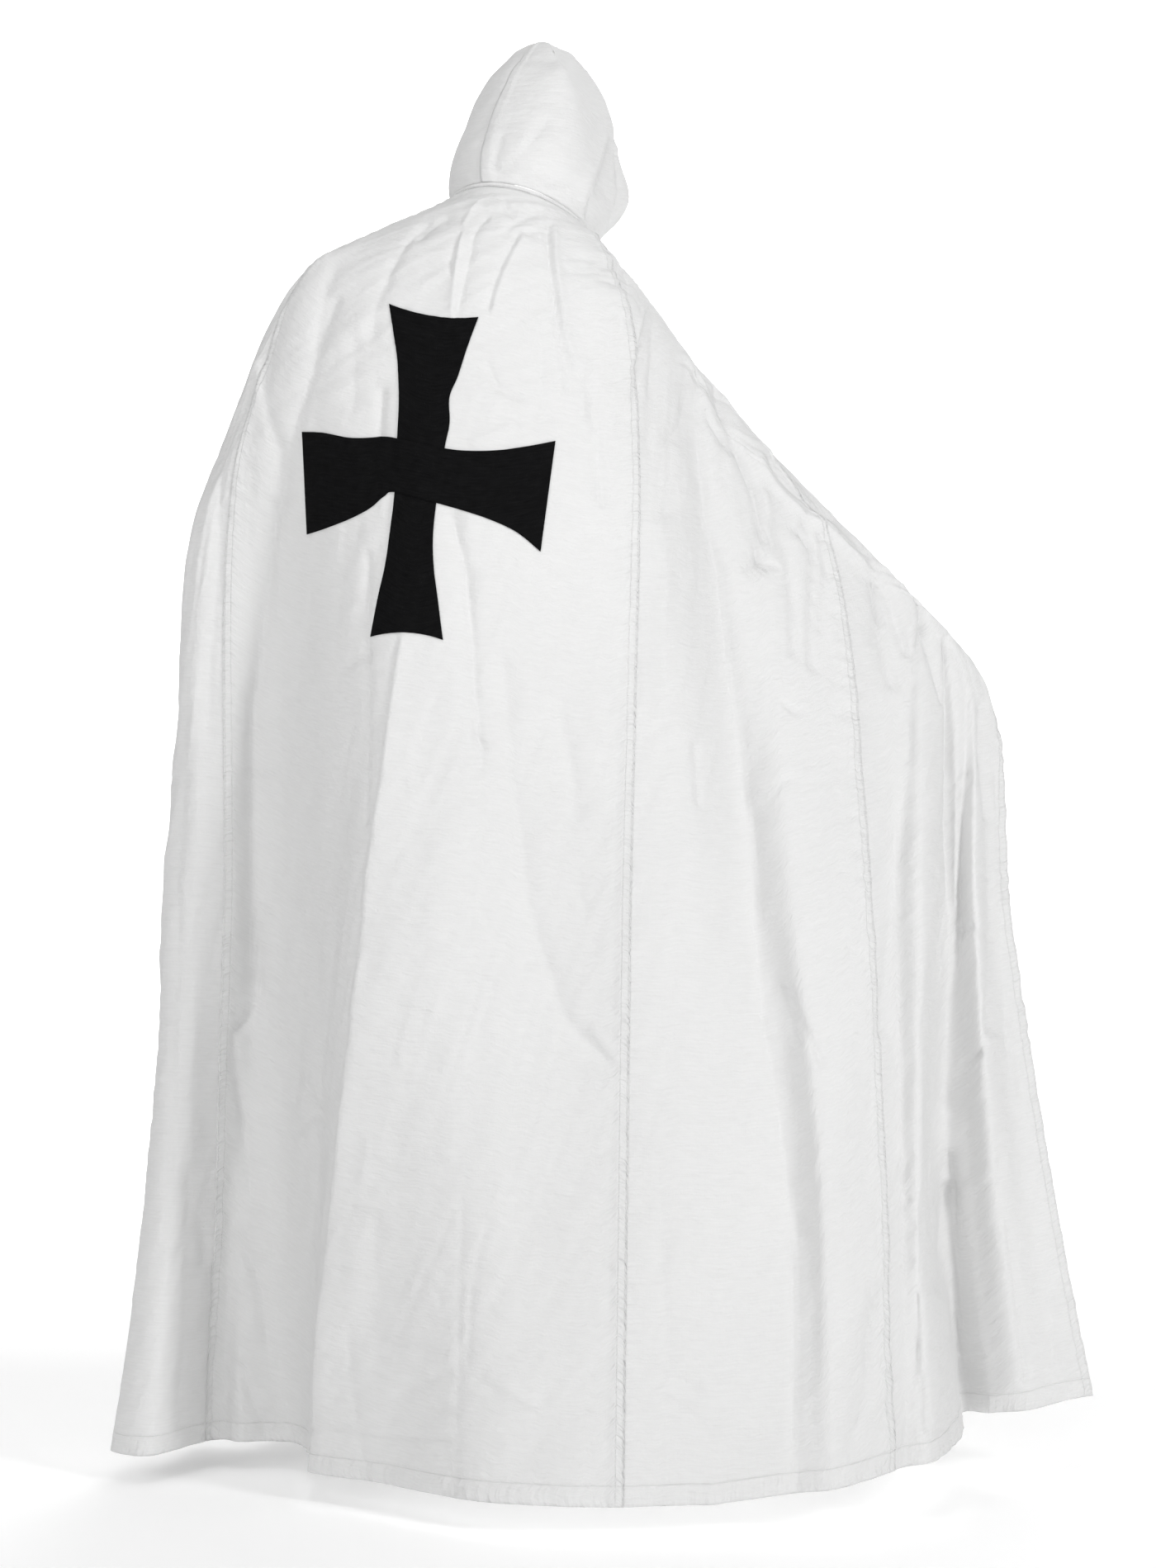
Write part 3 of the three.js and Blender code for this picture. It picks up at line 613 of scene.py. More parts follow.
def drape(places):
    """The cape's plain drape: a column of points from neck to hem for each place among the folds."""
    rows = between(FOLD_ROWS, places)
    fold = {name: rows[:, k] for k, name in enumerate(FOLD_COLUMNS)}
    a = np.radians(fold["neck"])
    ring = neck_point(fold["neck"])
    outward = unit(np.stack([np.sin(a) / NECK_HALF_WIDTH, np.cos(a) / NECK_HALF_DEPTH, 0 * a], -1))
    drop = np.stack([fold["drop_x"], fold["drop_y"], fold["drop_z"]], -1)
    hip = np.stack([fold["hip_x"], fold["hip_y"], np.full_like(a, HIP_LEVEL)], -1)
    hem = np.stack([fold["hem_x"], fold["hem_y"], hem_level(fold["hem_x"])], -1)
    to_drop = drop - ring
    to_drop[:, 2] = 0
    leave = sloped(unit(to_drop) + outward, fold["lie"])
    neck = ring + sloped(outward, fold["lie"]) * NECK_START
    fall = unit(hip - neck)
    swell = (np.linalg.norm(neck - drop, axis=1) * fold["swell"])[:, None]
    upper = np.linalg.norm(drop - hip, axis=1)[:, None]
    lower = np.linalg.norm(hip - hem, axis=1)[:, None]
    along = (hem - drop) / (upper + lower)
    shoulder_t, side_t, skirt_t = (np.arange(1, n + 1) / n for n in ROWS_DOWN)
    shoulder = hermite(neck, leave * swell, drop, fall * swell, np.concatenate([[0], shoulder_t]))
    side = hermite(drop, fall * upper * FALL_EASE, hip, along * upper, side_t)
    skirt = hermite(hip, along * lower, hem, hem - hip, skirt_t)
    skirt[..., 0] += fold["sway"][:, None] * np.sin(np.pi * skirt_t)[None, :]
    return np.concatenate([shoulder, side, skirt], axis=1)


def outward_of(points):
    """The way out of the cloth at each point of a grid."""
    across = np.gradient(points, axis=0)
    down = np.gradient(points, axis=1)
    return unit(np.cross(down, across))


def lengths_along(points, axis):
    steps = np.linalg.norm(np.diff(points, axis=axis), axis=-1)
    start = np.zeros_like(np.take(steps, [0], axis=axis))
    return np.concatenate([start, np.cumsum(steps, axis=axis)], axis=axis)


def fold_places():
    """Places across the cape, a cell apart at the hem, with every fold line among them."""
    hem = FOLD_ROWS[:, [FOLD_COLUMNS.index("hem_x"), FOLD_COLUMNS.index("hem_y")]]
    places = [0.0]
    for k, gap in enumerate(np.linalg.norm(np.diff(hem, axis=0), axis=1)):
        hidden = k < FOLD_NAMES.index("arm_front_valley")
        cells = max(LEAST_CELLS, 2 * round(gap / (HIDDEN_CELL if hidden else CELL) / 2))
        places += [k + i / cells for i in range(1, cells + 1)]
    return np.array(places)


def column_of(places, fold):
    """The column of points that lies on a fold line."""
    return int(np.argmin(np.abs(places - FOLD_NAMES.index(fold))))


def among(places, first, last):
    """1 among the folds from first to last, falling to 0 at the next fold."""
    a, b = FOLD_NAMES.index(first), FOLD_NAMES.index(last)
    return smooth(places - a + 1) * smooth(b - places + 1)


def hidden_creases(places, across, down):
    """Soft falling creases on the sides that show from the front, in the garment's own lengths."""
    height = np.zeros_like(across)
    draw = np.random.RandomState(11)
    weight = among(places, "left_front_edge", "left_side")[:, None]
    widest = across[column_of(places, "left_side")].max()
    for _ in range(HIDDEN_COUNT):
        start = draw.uniform(0, widest * HIDDEN_SPREAD)
        top = draw.uniform(*HIDDEN_TOP)
        length = draw.uniform(*HIDDEN_LENGTH)
        left, right = draw.uniform(*HIDDEN_WIDTH, 2)
        depth = draw.uniform(*HIDDEN_DEPTH) * draw.choice(HIDDEN_SIGNS)
        lean = draw.uniform(*HIDDEN_LEAN)
        t = (down - top) / length
        side = across - start - lean * (down - top) - HIDDEN_BOW * t * (1 - t)
        flank = np.abs(side) / np.where(side > 0, left, right)
        ends = smooth(t * HIDDEN_ENDS) * smooth((1 - t) * HIDDEN_ENDS)
        height += depth * ends * np.exp(-(flank**CREASE_CRISP))
    return height * weight


def puckers(places, across, down):
    """Small gathers that the seams' stitching draws into the cloth on both sides."""
    height = np.zeros_like(across)
    share = down / down[:, -1:]
    for k, (name, (top, foot)) in enumerate(SEAM_PUCKERS.items()):
        away = np.abs(across - across[column_of(places, name)])
        widen = ripple(down / PUCKER_REACH_RUN, np.full_like(down, k * 3.3), seed=21)
        reach = PUCKER_REACH * (1.5 + 0.5 * widen)
        strength = top + (foot - top) * share
        wave = ripple(down / PUCKER_RUN + away / PUCKER_SLANT, away / PUCKER_WIDTH + 7 * k, seed=22)
        height += strength * wave * fading(away, reach)
    hem_away = down[:, -1:] - down
    height += waves(across, hem_away, HEM_GATHER, seed=23) * fading(hem_away, HEM_REACH)
    gather = waves(across, down, NECK_GATHER, seed=24)
    height += gather * np.exp(-down / NECK_REACH) * smooth(down / NECK_EASE)
    return height


def crumple(across, down):
    """The lightly crushed surface of worn cotton."""
    slow = waves(across, down, SLOW_WAVES, seed=31)
    soft = waves(across + waves(down, across, SOFT_BEND, seed=32), down, SOFT_WAVES, seed=33)
    fine = waves(across, down, FINE_WAVES, seed=34) + waves(across, down, LONG_WAVES, seed=39)
    patches = waves(across, down, LEVEL_PATCHES, seed=38) * smooth((down - LEVEL_FROM) / LEVEL_EASE)
    level = waves(across, down, LEVEL_WAVES, seed=37) * patches
    bent = across + waves(down, across, RIDGE_BEND, seed=35)
    ridge = 1 - np.abs(waves(bent, down, RIDGE_WAVES, seed=36))
    return slow + soft + fine + level + RIDGE_HEIGHT * ridge**4


def cape_surface():
    """The drape, the way out of it, and how far its creases and waves stand off it."""
    places = fold_places()
    plain = drape(places)
    out = outward_of(plain)
    across = lengths_along(plain, 0)
    down = lengths_along(plain, 1)
    x, z = seen_from_behind(plain)
    shown = smooth((out[..., 1] - SHOWN_FROM) / SHOWN_EASE)
    height = np.zeros_like(across)
    for table in (SHOULDER_CREASES, BACK_CREASES, VALLEY_CREASES, ARM_CREASES):
        height += creased(x, z, table) * shown
    for level, width, depth in PACKING_CREASES:
        wander = PACKING_WANDER * ripple(across / PACKING_WANDER_RUN, np.zeros_like(across), seed=41)
        uneven = ripple(across / PACKING_UNEVEN_RUN, np.full_like(across, level), seed=42)
        strength = 1 - PACKING_UNEVEN * (1 - uneven)
        height += depth * strength * fading(plain[..., 2] - level + wander, width)
    height += hidden_creases(places, across, down)
    height += puckers(places, across, down)
    height += crumple(across, down)
    height *= smooth(down / NECK_PLAIN)
    return places, plain, out, height


# ---------------------------------------------------------------- meshes
def grid_faces(across, down, offset=0, flip=False):
    i, j = np.meshgrid(np.arange(across - 1), np.arange(down - 1), indexing="ij")
    a = (i * down + j).ravel() + offset
    quads = np.stack([a, a + 1, a + down + 1, a + down], 1)
    return quads[:, ::-1] if flip else quads


def edge_ring(across, down):
    """The points round the edge of a grid, in order."""
    left = np.arange(down - 1)
    foot = np.arange(across - 1) * down + down - 1
    right = np.arange(1, down)[::-1] + (across - 1) * down
    top = np.arange(1, across)[::-1] * down
    return np.concatenate([left, foot, right, top])


def rim_faces(across, down, step):
    """Narrow triangles from the outer grid's edge to the inner grid, which has every step-th point."""
    outer = edge_ring(across, down)
    inner = edge_ring((across - 1) // step + 1, (down - 1) // step + 1) + across * down
    count = np.arange(len(outer))
    near = inner[((count + step // 2) // step) % len(inner)]
    on_outer = np.stack([np.roll(outer, -1), outer, near], 1)
    on_inner = np.stack([np.roll(outer, -1)[::step], inner, np.roll(inner, -1)], 1)
    return np.concatenate([on_outer, on_inner])


def added(name, data):
    """A new object of the scene."""
    made = bpy.data.objects.new(name, data)
    bpy.context.scene.collection.objects.link(made)
    return made


def mesh_piece(name, points, quads, rim, maps, material):
    """A mesh object in metres. maps holds, for each map's name, two numbers for every point."""
    mesh = bpy.data.meshes.new(name)
    corners = np.concatenate([quads.ravel(), rim.ravel()])
    starts = np.concatenate([np.arange(len(quads)) * 4, quads.size + np.arange(len(rim)) * 3])
    mesh.vertices.add(len(points))
    mesh.vertices.foreach_set("co", (points * MM).astype(np.float32).ravel())
    mesh.loops.add(len(corners))
    mesh.loops.foreach_set("vertex_index", corners.astype(np.int32))
    mesh.polygons.add(len(starts))
    mesh.polygons.foreach_set("loop_start", starts.astype(np.int32))
    mesh.update(calc_edges=True)
    mesh.polygons.foreach_set("use_smooth", np.arange(len(starts)) < len(quads))
    for map_name, values in maps.items():
        layer = mesh.uv_layers.new(name=map_name)
        layer.data.foreach_set("uv", values[corners].astype(np.float32).ravel())
    mesh.validate()
    mesh.materials.append(material)
    return added(name, mesh)


def shell(name, outer, inner, maps, material, step=1):
    """A closed sheet of cloth between two grids of points, the inner one step times as coarse."""
    across, down = outer.shape[:2]
    inside = inner[::step, ::step]
    points = np.concatenate([outer.reshape(-1, 3), inside.reshape(-1, 3)])
    quads = np.concatenate([
        grid_faces(across, down),
        grid_faces(inside.shape[0], inside.shape[1], across * down, flip=True),
    ])
    both = {}
    for key, value in maps.items():
        both[key] = np.concatenate([value.reshape(-1, 2), value[::step, ::step].reshape(-1, 2)]) * MM
    return mesh_piece(name, points, quads, rim_faces(across, down, step), both, material)


def lowest_around(height):
    """The least of each height and its eight neighbours."""
    padded = np.pad(height, 1, mode="edge")
    rows, columns = height.shape
    around = [padded[i:i + rows, j:j + columns] for i in range(3) for j in range(3)]
    return np.min(around, axis=0)


def past_column(grid, across, column, reach):
    """What a grid holds at each reach past one of its columns, along every row."""
    result = np.empty((len(reach),) + grid.shape[1:])
    for j in range(grid.shape[1]):
        for k in range(grid.shape[2]):
            result[:, j, k] = np.interp(across[column, j] + reach, across[:, j], grid[:, j, k])
    return result


def fell(away, down, seed):
    """How far a felled band stands off, at each distance past its seam."""
    lift = (CLOTH_THICK + FELL_CLEAR) * smooth(away / FELL_RISE + 1)
    on_band = smooth(away / FELL_EASE + 0.6) * smooth((FELL_REACH[-1] - away) / FELL_EASE + 0.3)
    rungs = down / FELL_LADDER_RUN + away / FELL_LADDER_SLANT
    ladder = ripple(rungs, away / FELL_LADDER_WIDTH + 5 * seed, seed=25)
    uneven = ripple(down / FELL_UNEVEN_RUN, down / FELL_UNEVEN_DRIFT + seed, seed=26)
    gather = 1 - FELL_UNEVEN * (1 - uneven)
    return lift + FELL_PUCKER * ladder * gather * on_band


def edge_maps(points):
    """Lengths on the cloth: from its left seam and its top, and from its right seam and its foot."""
    across = lengths_along(points, 0)
    down = lengths_along(points, 1)
    return {
        "cloth": np.stack([across, down], -1),
        "edges": np.stack([across[-1:] - across, down[:, -1:] - down], -1),
    }


def drawn_in(points, laps):
    """The grid with the side edges that meet a seam drawn in by half its gap."""
    moved = points.copy()
    if not laps[0]:
        moved[0] += unit(points[1] - points[0]) * SEAM_GAP / 2
    if not laps[1]:
        moved[-1] += unit(points[-2] - points[-1]) * SEAM_GAP / 2
    return moved


# ---------------------------------------------------------------- finishes
class Wire:
    """A shader socket that can be used in sums."""

    def __init__(self, finish, socket):
        self.finish = finish
        self.socket = socket

    def _math(self, operation, *values):
        return self.finish.node("ShaderNodeMath", {"operation": operation}, dict(enumerate(values)))

    def __add__(self, other):
        return self._math("ADD", self, other)

    def __sub__(self, other):
        return self._math("SUBTRACT", self, other)

    def __rsub__(self, other):
        return self._math("SUBTRACT", other, self)

    def __mul__(self, other):
        return self._math("MULTIPLY", self, other)

    def __truediv__(self, other):
        return self._math("DIVIDE", self, other)

    def __lt__(self, other):
        return self._math("LESS_THAN", self, other)

    def sine(self):
        return self._math("SINE", self)

    def bell(self, width):
        """1 where this is 0, falling to 0 a few widths away."""
        return self._math("EXPONENT", (self / width) * (self / width) * -1)

    __radd__ = __add__
    __rmul__ = __mul__


class Finish:
    """A material of its own nodes, round one Principled shader."""

    def __init__(self, name, **constants):
        self.material = bpy.data.materials.new(name)
        self.material.use_nodes = True
        self.tree = self.material.node_tree
        self.shader = self.tree.nodes["Principled BSDF"]
        for socket, value in constants.items():
            self.shader.inputs[socket.replace("_", " ")].default_value = value

    def node(self, kind, settings, inputs, output=0):
        made = self.tree.nodes.new(kind)
        for key, value in settings.items():
            setattr(made, key, value)
        for key, value in inputs.items():
            self.plug(made.inputs[key], value)
        return Wire(self, made.outputs[output])

    def plug(self, socket, value):
        if isinstance(value, Wire):
            self.tree.links.new(value.socket, socket)
        else:
            socket.default_value = value

    def lengths(self, map_name):
        """The two lengths of one of the piece's maps, in metres."""
        place = self.node("ShaderNodeUVMap", {"uv_map": map_name}, {})
        return [self.node("ShaderNodeSeparateXYZ", {}, {0: place}, output=k) for k in (0, 1)]

    def grain(self, across, down, shape, detail):
        """Noise round 0, drawn out over the cloth. shape: its length across and its length down."""
        place = self.node("ShaderNodeCombineXYZ", {}, {0: across / shape[0], 1: down / shape[1]})
        inputs = {"Vector": place, "Scale": 1.0, "Detail": detail}
        return self.node("ShaderNodeTexNoise", {"noise_dimensions": "2D"}, inputs) - 0.5

    def speckle(self, scale, detail):
        """Even noise through the whole body of a piece."""
        place = self.node("ShaderNodeTexCoord", {}, {}, output=3)
        return self.node("ShaderNodeTexNoise", {}, {"Vector": place, "Scale": scale, "Detail": detail})

    def mixed(self, share, low, high):
        settings = {"data_type": "RGBA"}
        return self.node("ShaderNodeMix", settings, {0: share, 6: low, 7: high}, output=2)

    def bump(self, height):
        return self.node("ShaderNodeBump", {}, {"Height": height, "Distance": 1.0, "Strength": 1.0})

    def feed(self, **sockets):
        for socket, value in sockets.items():
            self.plug(self.shader.inputs[socket.replace("_", " ")], value)


# ---- grain of the cotton, in metres: length across, length down, height ----
SLUB = (0.036, 0.0021, 0.00034)
WARP = (0.0016, 0.05, 0.00016)
FIBRE = (0.0031, 0.0031, 0.00022)
CRUSH = (0.042, 0.019, 0.0022)
FINE_CRUSH = (0.014, 0.006, 0.0006)
SEAM_PULL = (0.05, 0.0065, 0.0036)
HEM_PULL = (0.008, 0.05, 0.0026)
CLOUD = (0.21, 0.34)
LINT = (0.012, 0.016)
BLACK_CRUSH = (0.014, 0.02, 0.0012)
SEAM_PULL_REACH = 0.017
HEM_PULL_REACH = 0.026

# ---- stitches and the turned hem, in metres ----
STITCH_ROWS = (0.0022, 0.0112)
STITCH_HALF_WIDTH = 0.0008
STITCH_LENGTH = 0.0034
STITCH_DEPTH = 0.0006
HEM_TURN = 0.027
HEM_STITCH_IN = 0.0025
HEM_STEP = 0.0005


def thread_relief(finish, across, down, coarse=1.0):
    """The slubs along the weft, and the height of the plain weave with its uneven threads."""
    slub = finish.grain(across, down, (SLUB[0] * coarse, SLUB[1]), 3.0)
    warp = finish.grain(across, down, (WARP[0], WARP[1] * coarse), 2.0)
    fibre = finish.grain(across, down, FIBRE, 4.0)
    return slub, slub * SLUB[2] + warp * WARP[2] + fibre * FIBRE[2]


def stitched(away, along):
    """Rows of stitches beside an edge."""
    dash = (along * (2 * math.pi / STITCH_LENGTH)).sine() * 0.2 + 0.8
    rows = [(away - place).bell(STITCH_HALF_WIDTH) for place in STITCH_ROWS]
    return (rows[0] + rows[1]) * dash


def white_cotton():
    finish = Finish("white_cotton", Roughness=0.92, Specular_IOR_Level=0.25)
    across, down = finish.lengths("cloth")
    from_right, from_foot = finish.lengths("edges")
    slub, threads = thread_relief(finish, across, down)
    crush = finish.grain(across, down, CRUSH, 4.0) * CRUSH[2]
    crush = crush + finish.grain(across, down, FINE_CRUSH, 3.0) * FINE_CRUSH[2]

    pulled = finish.grain(across, down, SEAM_PULL, 2.0) * across.bell(SEAM_PULL_REACH)
    pulled = pulled + finish.grain(from_right, down, SEAM_PULL, 2.0) * from_right.bell(SEAM_PULL_REACH)
    hem_pulled = finish.grain(across, from_foot, HEM_PULL, 2.0) * from_foot.bell(HEM_PULL_REACH)
    pulled = pulled * SEAM_PULL[2] + hem_pulled * HEM_PULL[2]

    turned = (from_foot < HEM_TURN) * HEM_STEP
    sewn = stitched(across, down) + stitched(from_right, down)
    sewn = sewn + (from_foot - HEM_TURN + HEM_STITCH_IN).bell(STITCH_HALF_WIDTH)
    height = threads + crush + pulled + turned - sewn * STITCH_DEPTH

    cloudy = finish.grain(across, down, CLOUD, 3.0)
    shade = 0.5 + slub * 0.7 + cloudy * 0.5 - sewn * 0.3
    colour = finish.mixed(shade, (0.72, 0.72, 0.718, 1), (0.81, 0.81, 0.808, 1))
    finish.feed(Base_Color=colour, Normal=finish.bump(height))
    return finish.material


def black_cotton():
    finish = Finish("black_cotton", Roughness=0.95, Specular_IOR_Level=0.08)
    across, down = finish.lengths("cloth")
    slub, threads = thread_relief(finish, across, down, 0.6)
    lint = finish.grain(across, down, LINT, 5.0)
    shade = 0.45 + slub * 0.9 + lint * 0.5
    colour = finish.mixed(shade, (0.0022, 0.0022, 0.0024, 1), (0.0085, 0.0085, 0.009, 1))
    crush = finish.grain(across, down, BLACK_CRUSH, 4.0) * BLACK_CRUSH[2]
    finish.feed(Base_Color=colour, Normal=finish.bump(threads + crush))
    return finish.material


def steel_wire():
    finish = Finish("steel_wire", Metallic=1.0)
    rub = finish.speckle(900.0, 3.0)
    colour = finish.mixed(rub, (0.42, 0.43, 0.44, 1), (0.62, 0.63, 0.64, 1))
    finish.feed(Base_Color=colour, Roughness=0.28 + rub * 0.2, Normal=finish.bump(rub * 0.00005))
    return finish.material


# ---------------------------------------------------------------- pieces
def cape_panels(material):
    places, plain, out, height = cape_surface()
    across = lengths_along(plain, 0)
    down = lengths_along(plain, 1)
    low = lowest_around(height)
    whole = np.concatenate([plain, out, height[..., None], low[..., None], down[..., None]], axis=-1)
    made = {}
    for seed, row in enumerate(PANELS):
        name, first, last, laps, width, length, area = row
        a, b = column_of(places, first), column_of(places, last)
        parts = [whole[a:b + 1]]
        away_first = across[a] - across[a:b + 1]
        away_last = across[a:b + 1] - across[b]
        if laps[0]:
            parts.insert(0, past_column(whole, across, a, -FELL_REACH[::-1]))
            band = np.repeat(FELL_REACH[::-1, None], across.shape[1], axis=1)
            away_first = np.concatenate([band, away_first])
            away_last = np.concatenate([away_last[:1] - band, away_last])
        if laps[1]:
            parts.append(past_column(whole, across, b, FELL_REACH))
            band = np.repeat(FELL_REACH[:, None], across.shape[1], axis=1)
            away_first = np.concatenate([away_first, away_first[-1:] - band])
            away_last = np.concatenate([away_last, band])
        panel = np.concatenate(parts)
        base, outward, rise, floor, fallen = (
            panel[..., 0:3], unit(panel[..., 3:6]), panel[..., 6], panel[..., 7], panel[..., 8])
        lift = np.zeros_like(rise)
        if laps[0]:
            lift += fell(away_first, fallen, seed)
        if laps[1]:
            lift += fell(away_last, fallen, seed + 9)
        outer = base + outward * (rise + lift)[..., None]
        inner = base + outward * (floor + lowest_around(lift) - CLOTH_THICK)[..., None]
        outer, inner = (drawn_in(grid, laps) for grid in (outer, inner))
        piece = shell(name + "_cloth", outer, inner, edge_maps(outer), material, step=2)
        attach(piece, "root")
        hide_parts(name)
        made[name] = (piece, (width, length), area)
    return made


def declare_panels(panels, cross):
    for name, (piece, flat, area) in panels.items():
        on_it = cross if name == "back_panel" else []


def hood_point(side, left, up):
    """side is 0 at the centre seam and 1 at the brim; left is 1 or -1; up runs 0 neck to 1 crown."""
    eased = np.where(up < 2 * HOOD_NECK_SHARE, up * up / (4 * HOOD_NECK_SHARE), up - HOOD_NECK_SHARE)
    risen = np.clip(eased / (1 - HOOD_NECK_SHARE), 0, 1)
    section = between(HOOD_SECTIONS, risen * (len(HOOD_SECTIONS) - 1))
    rise, half, back, reach, bow = section.T
    a = np.minimum(side / HOOD_TURN_BACK, 1) * math.pi / 2
    t = np.maximum(side - HOOD_TURN_BACK, 0) / (1 - HOOD_TURN_BACK)
    across = half * np.sin(a) * (1 - HOOD_TAPER * t * t)
    rounded = np.maximum(back, 0) * np.cos(a) * (side < HOOD_TURN_BACK)
    behind = rounded + np.minimum(back, 0) * (1 - t) - reach * t
    shell_point = np.outer(across * left, HOOD_TO_LEFT) + np.outer(behind - bow, HOOD_TO_BACK)
    ring = neck_point(HOOD_SEAM_NECK + side * (left * HOOD_BRIM_NECK - HOOD_SEAM_NECK))
    ring[:, 2] += HOOD_FOOT
    shell_point[:, 2] = rise + HOOD_TILT * (ring[:, 2] - NECK_LEVEL) * (1 - up)
    clear = np.clip(up / HOOD_CLEAR, 0, 1)
    clear = (clear * (2 - clear))[:, None]
    return ring * (1 - clear) + shell_point * clear


def hood_height(plain, out, side, left):
    """How far the creases and waves of one half of the hood stand off it."""
    across, down = lengths_along(plain, 0), lengths_along(plain, 1)
    x, z = seen_from_behind(plain)
    seam_away = np.abs(across - across[int(np.argmin(np.abs(side[:, 0])))])
    height = creased(x, z, HOOD_CREASES) * smooth((out[..., 1] - HOOD_SHOWN_FROM) / SHOWN_EASE)
    crumpled = waves(across + HOOD_HALF_SHIFT * left, down, HOOD_WAVES, seed=51)
    crumpled += waves(across, down, HOOD_FINE_WAVES, seed=52)
    height += crumpled * smooth(seam_away / HOOD_SEAM_PLAIN)
    height += waves(down, seam_away, HOOD_SEAM_WAVES, seed=53) * fading(seam_away, HOOD_SEAM_REACH)
    height *= smooth((down[:, -1:] - down) / HOOD_FOOT_PLAIN) * smooth(down / HOOD_CROWN_PLAIN)
    if left < 0:
        height += HOOD_LAP_RISE * smooth((HOOD_LAP_EASE - side) / HOOD_LAP_EASE)
    return height


def hood_halves(material):
    """Two halves; the right one runs on past the centre seam and lies over the left one."""
    for name, left in (("hood_left", 1), ("hood_right", -1)):
        sides = np.linspace(0, 1, HOOD_ROUND + 1)
        sides = sides[::-1] if left > 0 else np.concatenate([HOOD_LAP, sides])
        side, up = np.meshgrid(sides, np.linspace(1, 0, HOOD_UP + 1), indexing="ij")
        plain = hood_point(side.ravel(), left, up.ravel()).reshape(side.shape + (3,))
        crown = smooth(1 - lengths_along(plain, 1) / HOOD_CROWN_EASE)[..., None]
        out = unit(outward_of(plain) * (1 - crown) + UPWARD * crown)
        outer = plain + out * hood_height(plain, out, side, left)[..., None]
        inner = outer - out * CLOTH_THICK
        open_seam = (side >= 0) & (up < HOOD_CLOSED_FROM)
        for grid in (outer, inner):
            short = np.maximum(0, SEAM_GAP / 2 - left * (grid @ HOOD_TO_LEFT)) * open_seam
            grid += short[..., None] * HOOD_TO_LEFT * left
        maps = edge_maps(outer)
        maps["cloth"][..., 0] += HOOD_MAP_START
        maps["edges"] += np.array((HOOD_MAP_START, HOOD_FOOT_START))
        piece = shell(name + "_cloth", outer, inner, maps, material)
        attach(piece, "root")
        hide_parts(name)


def surface_tree(pieces):
    """What lies under the cross: the outer skin of pieces, for rays to meet."""
    points, faces = [], []
    for piece in pieces:
        start = len(points)
        points += [v.co.copy() for v in piece.data.vertices]
        faces += [[start + i for i in p.vertices] for p in piece.data.polygons]
    return BVHTree.FromPolygons(points, faces)


def laid_on(tree, x, z, clear):
    """Points on the cloth where x and z show from behind, moved out by clear."""
    eye = Vector(EYE * MM)
    placed = np.zeros(x.shape + (3,))
    for index in np.ndindex(x.shape):
        spot = Vector((x[index], EYE[1] - EYE_REACH, z[index])) * MM
        hit, normal, _, _ = tree.ray_cast(eye, (spot - eye).normalized())
        placed[index] = np.array(hit) / MM + np.array(normal) * clear
    return placed


def cross_shell(name, tree, x, z, material):
    under = laid_on(tree, x, z, CROSS_CLEAR)
    out = outward_of(under)
    outer = under + out * CROSS_THICK
    piece = shell(name + "_cloth", outer, under, edge_maps(outer), material)
    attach(piece, "root")
    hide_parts(name)
    return piece


def cross_pieces(panel, material):
    """The upright laid on the back panel, and the bar laid across both."""
    rows = between(UPRIGHT, np.linspace(0, len(UPRIGHT) - 1, UPRIGHT_CELLS[0] + 1))
    share = np.linspace(0, 1, UPRIGHT_CELLS[1] + 1)[:, None]
    left_x, left_z, right_x, right_z, sag = rows.T
    x = CROSS_X + left_x * (1 - share) + right_x * share
    z = CROSS_Z + left_z * (1 - share) + right_z * share - sag * 4 * share * (1 - share)
    upright = cross_shell("cross_upright", surface_tree([panel]), x, z, material)
    columns = between(BAR, np.linspace(0, len(BAR) - 1, BAR_CELLS[0] + 1))
    share = np.linspace(0, 1, BAR_CELLS[1] + 1)[None, :]
    top_x, top_z, foot_x, foot_z = columns.T[..., None]
    x = CROSS_X + top_x * (1 - share) + foot_x * share
    z = CROSS_Z + top_z * (1 - share) + foot_z * share
    bar = cross_shell("cross_bar", surface_tree([panel, upright]), x, z, material)
    return [upright, bar]


def neck_roll(material):
    """The rolled neck seam: a soft roll with the slanting wrinkles that its twist gives."""
    middle = neck_point(np.linspace(ROLL_END, -ROLL_END, ROLL_CELLS_ALONG + 1))
    ahead = unit(np.gradient(middle, axis=0))
    side = unit(np.cross(ahead, UPWARD))
    up = np.cross(side, ahead)
    length = lengths_along(middle, 0)[:, None]
    turn = np.linspace(0, 2 * math.pi, ROLL_CELLS_ROUND + 1)[None, :]
    twist = np.sin(length / ROLL_TWIST_RUN + 2 * turn) * ROLL_TWIST
    radius = ROLL_RADIUS * (0.93 + 0.06 * twist + 0.05 * ripple(length / ROLL_LUMP_RUN, turn, seed=61))
    taper = smooth(np.minimum(length, length[-1] - length) / ROLL_TAPER + 0.03)
    round_about = np.cos(turn)[..., None] * side[:, None] + np.sin(turn)[..., None] * up[:, None]
    points = middle[:, None] + (radius * taper)[..., None] * round_about
    across, down = points.shape[:2]
    lengths = np.stack(np.broadcast_arrays(ROLL_MAP_START + turn * ROLL_RADIUS, length), -1)
    both = {
        "cloth": lengths.reshape(-1, 2) * MM,
        "edges": np.full((across * down, 2), ROLL_FROM_EDGE * MM),
    }
    no_rim = np.zeros((0, 3), int)
    faces = grid_faces(across, down, flip=True)
    piece = mesh_piece("neck_roll_cloth", points.reshape(-1, 3), faces, no_rim, both, material)
    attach(piece, "root")
    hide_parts("neck_roll")


# ---------------------------------------------------------------- stage
FLOOR_LEVEL = -1.60
WORLD_STRENGTH = 0.31
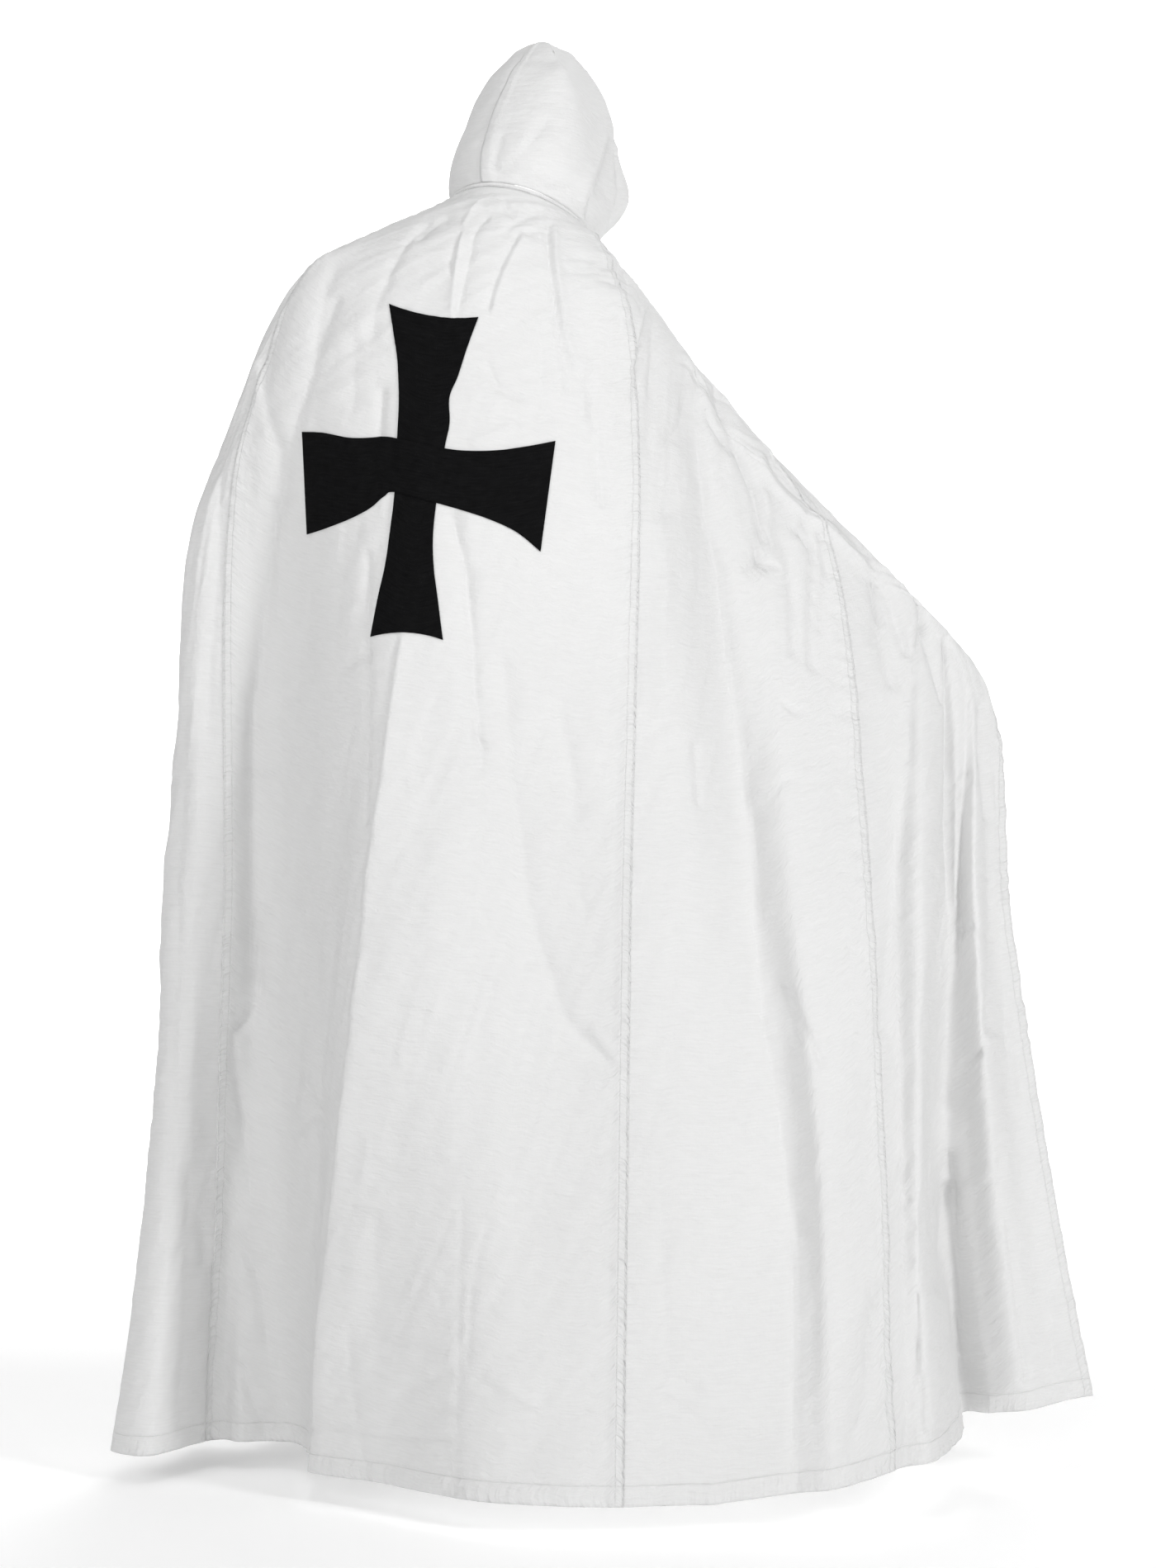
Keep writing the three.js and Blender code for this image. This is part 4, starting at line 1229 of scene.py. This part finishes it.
# Columns: name, place, target, size, power.
LAMPS = (
    ("key_lamp", (-3.0, 2.8, 0.6), (0.0, 0.1, -0.42), 1.0, 66),
    ("fill_lamp", (2.6, 3.0, 0.3), (0.0, 0.1, -0.45), 1.8, 27),
    ("back_lamp", (0.3, 4.5, 0.1), (0.0, 0.1, -0.5), 1.6, 17),
    ("top_lamp", (0.2, 1.4, 2.3), (0.0, 0.0, -0.2), 1.6, 20),
    ("front_lamp", (-0.8, -3.0, 2.2), (0.0, 0.0, -0.8), 2.6, 46),
    ("backdrop_lamp", (0.0, -3.6, 2.4), (0.0, -8.2, -0.9), 3.6, 420),
)


def glowing_pale_paint():
    # The paint glows faintly: painted light that brightens floor and wall and lifts the cape's shadow off
    # the floor.
    finish = Finish("glowing_pale_paint", Roughness=0.9, Emission_Color=(1, 1, 1, 1), Emission_Strength=0.2)
    cloudy = finish.speckle(6.0, 4.0)
    finish.feed(Base_Color=finish.mixed(cloudy, (0.90, 0.90, 0.90, 1), (0.93, 0.93, 0.93, 1)))
    return finish.material


def studio_sweep(material):
    """A pale floor that curves up into a pale wall in front of the wearer."""
    half_width, near, far, bend, top = 12.0, 8.0, -6.6, 1.6, 8.0
    path = [(near, FLOOR_LEVEL)]
    for a in np.linspace(0, math.pi / 2, 24):
        path.append((far - bend * math.sin(a), FLOOR_LEVEL + bend * (1 - math.cos(a))))
    path += [(far - bend, top)]
    points = [(x, y, z) for x in (-half_width, half_width) for y, z in path]
    count = len(path)
    faces = [(k, k + 1, count + k + 1, count + k) for k in range(count - 1)]
    mesh = bpy.data.meshes.new("studio_sweep")
    mesh.from_pydata(points, [], faces)
    mesh.polygons.foreach_set("use_smooth", [True] * len(faces))
    mesh.materials.append(material)
    sweep = added("studio_sweep", mesh)


def soft_lamp(name, place, target, size, power):
    lamp = bpy.data.lights.new(name, "AREA")
    lamp.shape = "DISK"
    lamp.size = size
    lamp.energy = power
    holder = added(name, lamp)
    holder.location = place
    holder.rotation_euler = (Vector(target) - Vector(place)).to_track_quat("-Z", "Y").to_euler()


def studio():
    world = bpy.data.worlds.new("soft_white_room")
    bpy.context.scene.world = world
    world.use_nodes = True
    world.node_tree.nodes["Background"].inputs["Color"].default_value = (1, 1, 1, 1)
    world.node_tree.nodes["Background"].inputs["Strength"].default_value = WORLD_STRENGTH
    for lamp in LAMPS:
        soft_lamp(*lamp)
    bpy.context.scene.view_settings.view_transform = "Standard"


VIEW_HEIGHT = 1899
SENSOR = 36.0


def viewpoint():
    camera = bpy.data.cameras.new("viewpoint")
    camera.sensor_width = SENSOR
    camera.lens = SENSOR * EYE_REACH / VIEW_HEIGHT
    holder = added("viewpoint", camera)
    holder.location = Vector(EYE * MM)
    holder.rotation_euler = (math.pi / 2, 0, math.pi)
    bpy.context.scene.camera = holder


def main():
    viewpoint()
    studio()
    studio_sweep(glowing_pale_paint())
    cotton = white_cotton()
    panels = cape_panels(cotton)
    cross = cross_pieces(panels["back_panel"][0], black_cotton())
    declare_panels(panels, cross)
    hood_halves(cotton)
    neck_roll(cotton)
    wire = steel_wire()
    for name in ("throat_hook", "throat_eye"):
        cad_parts[name].data.materials.clear()
        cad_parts[name].data.materials.append(wire)


main()
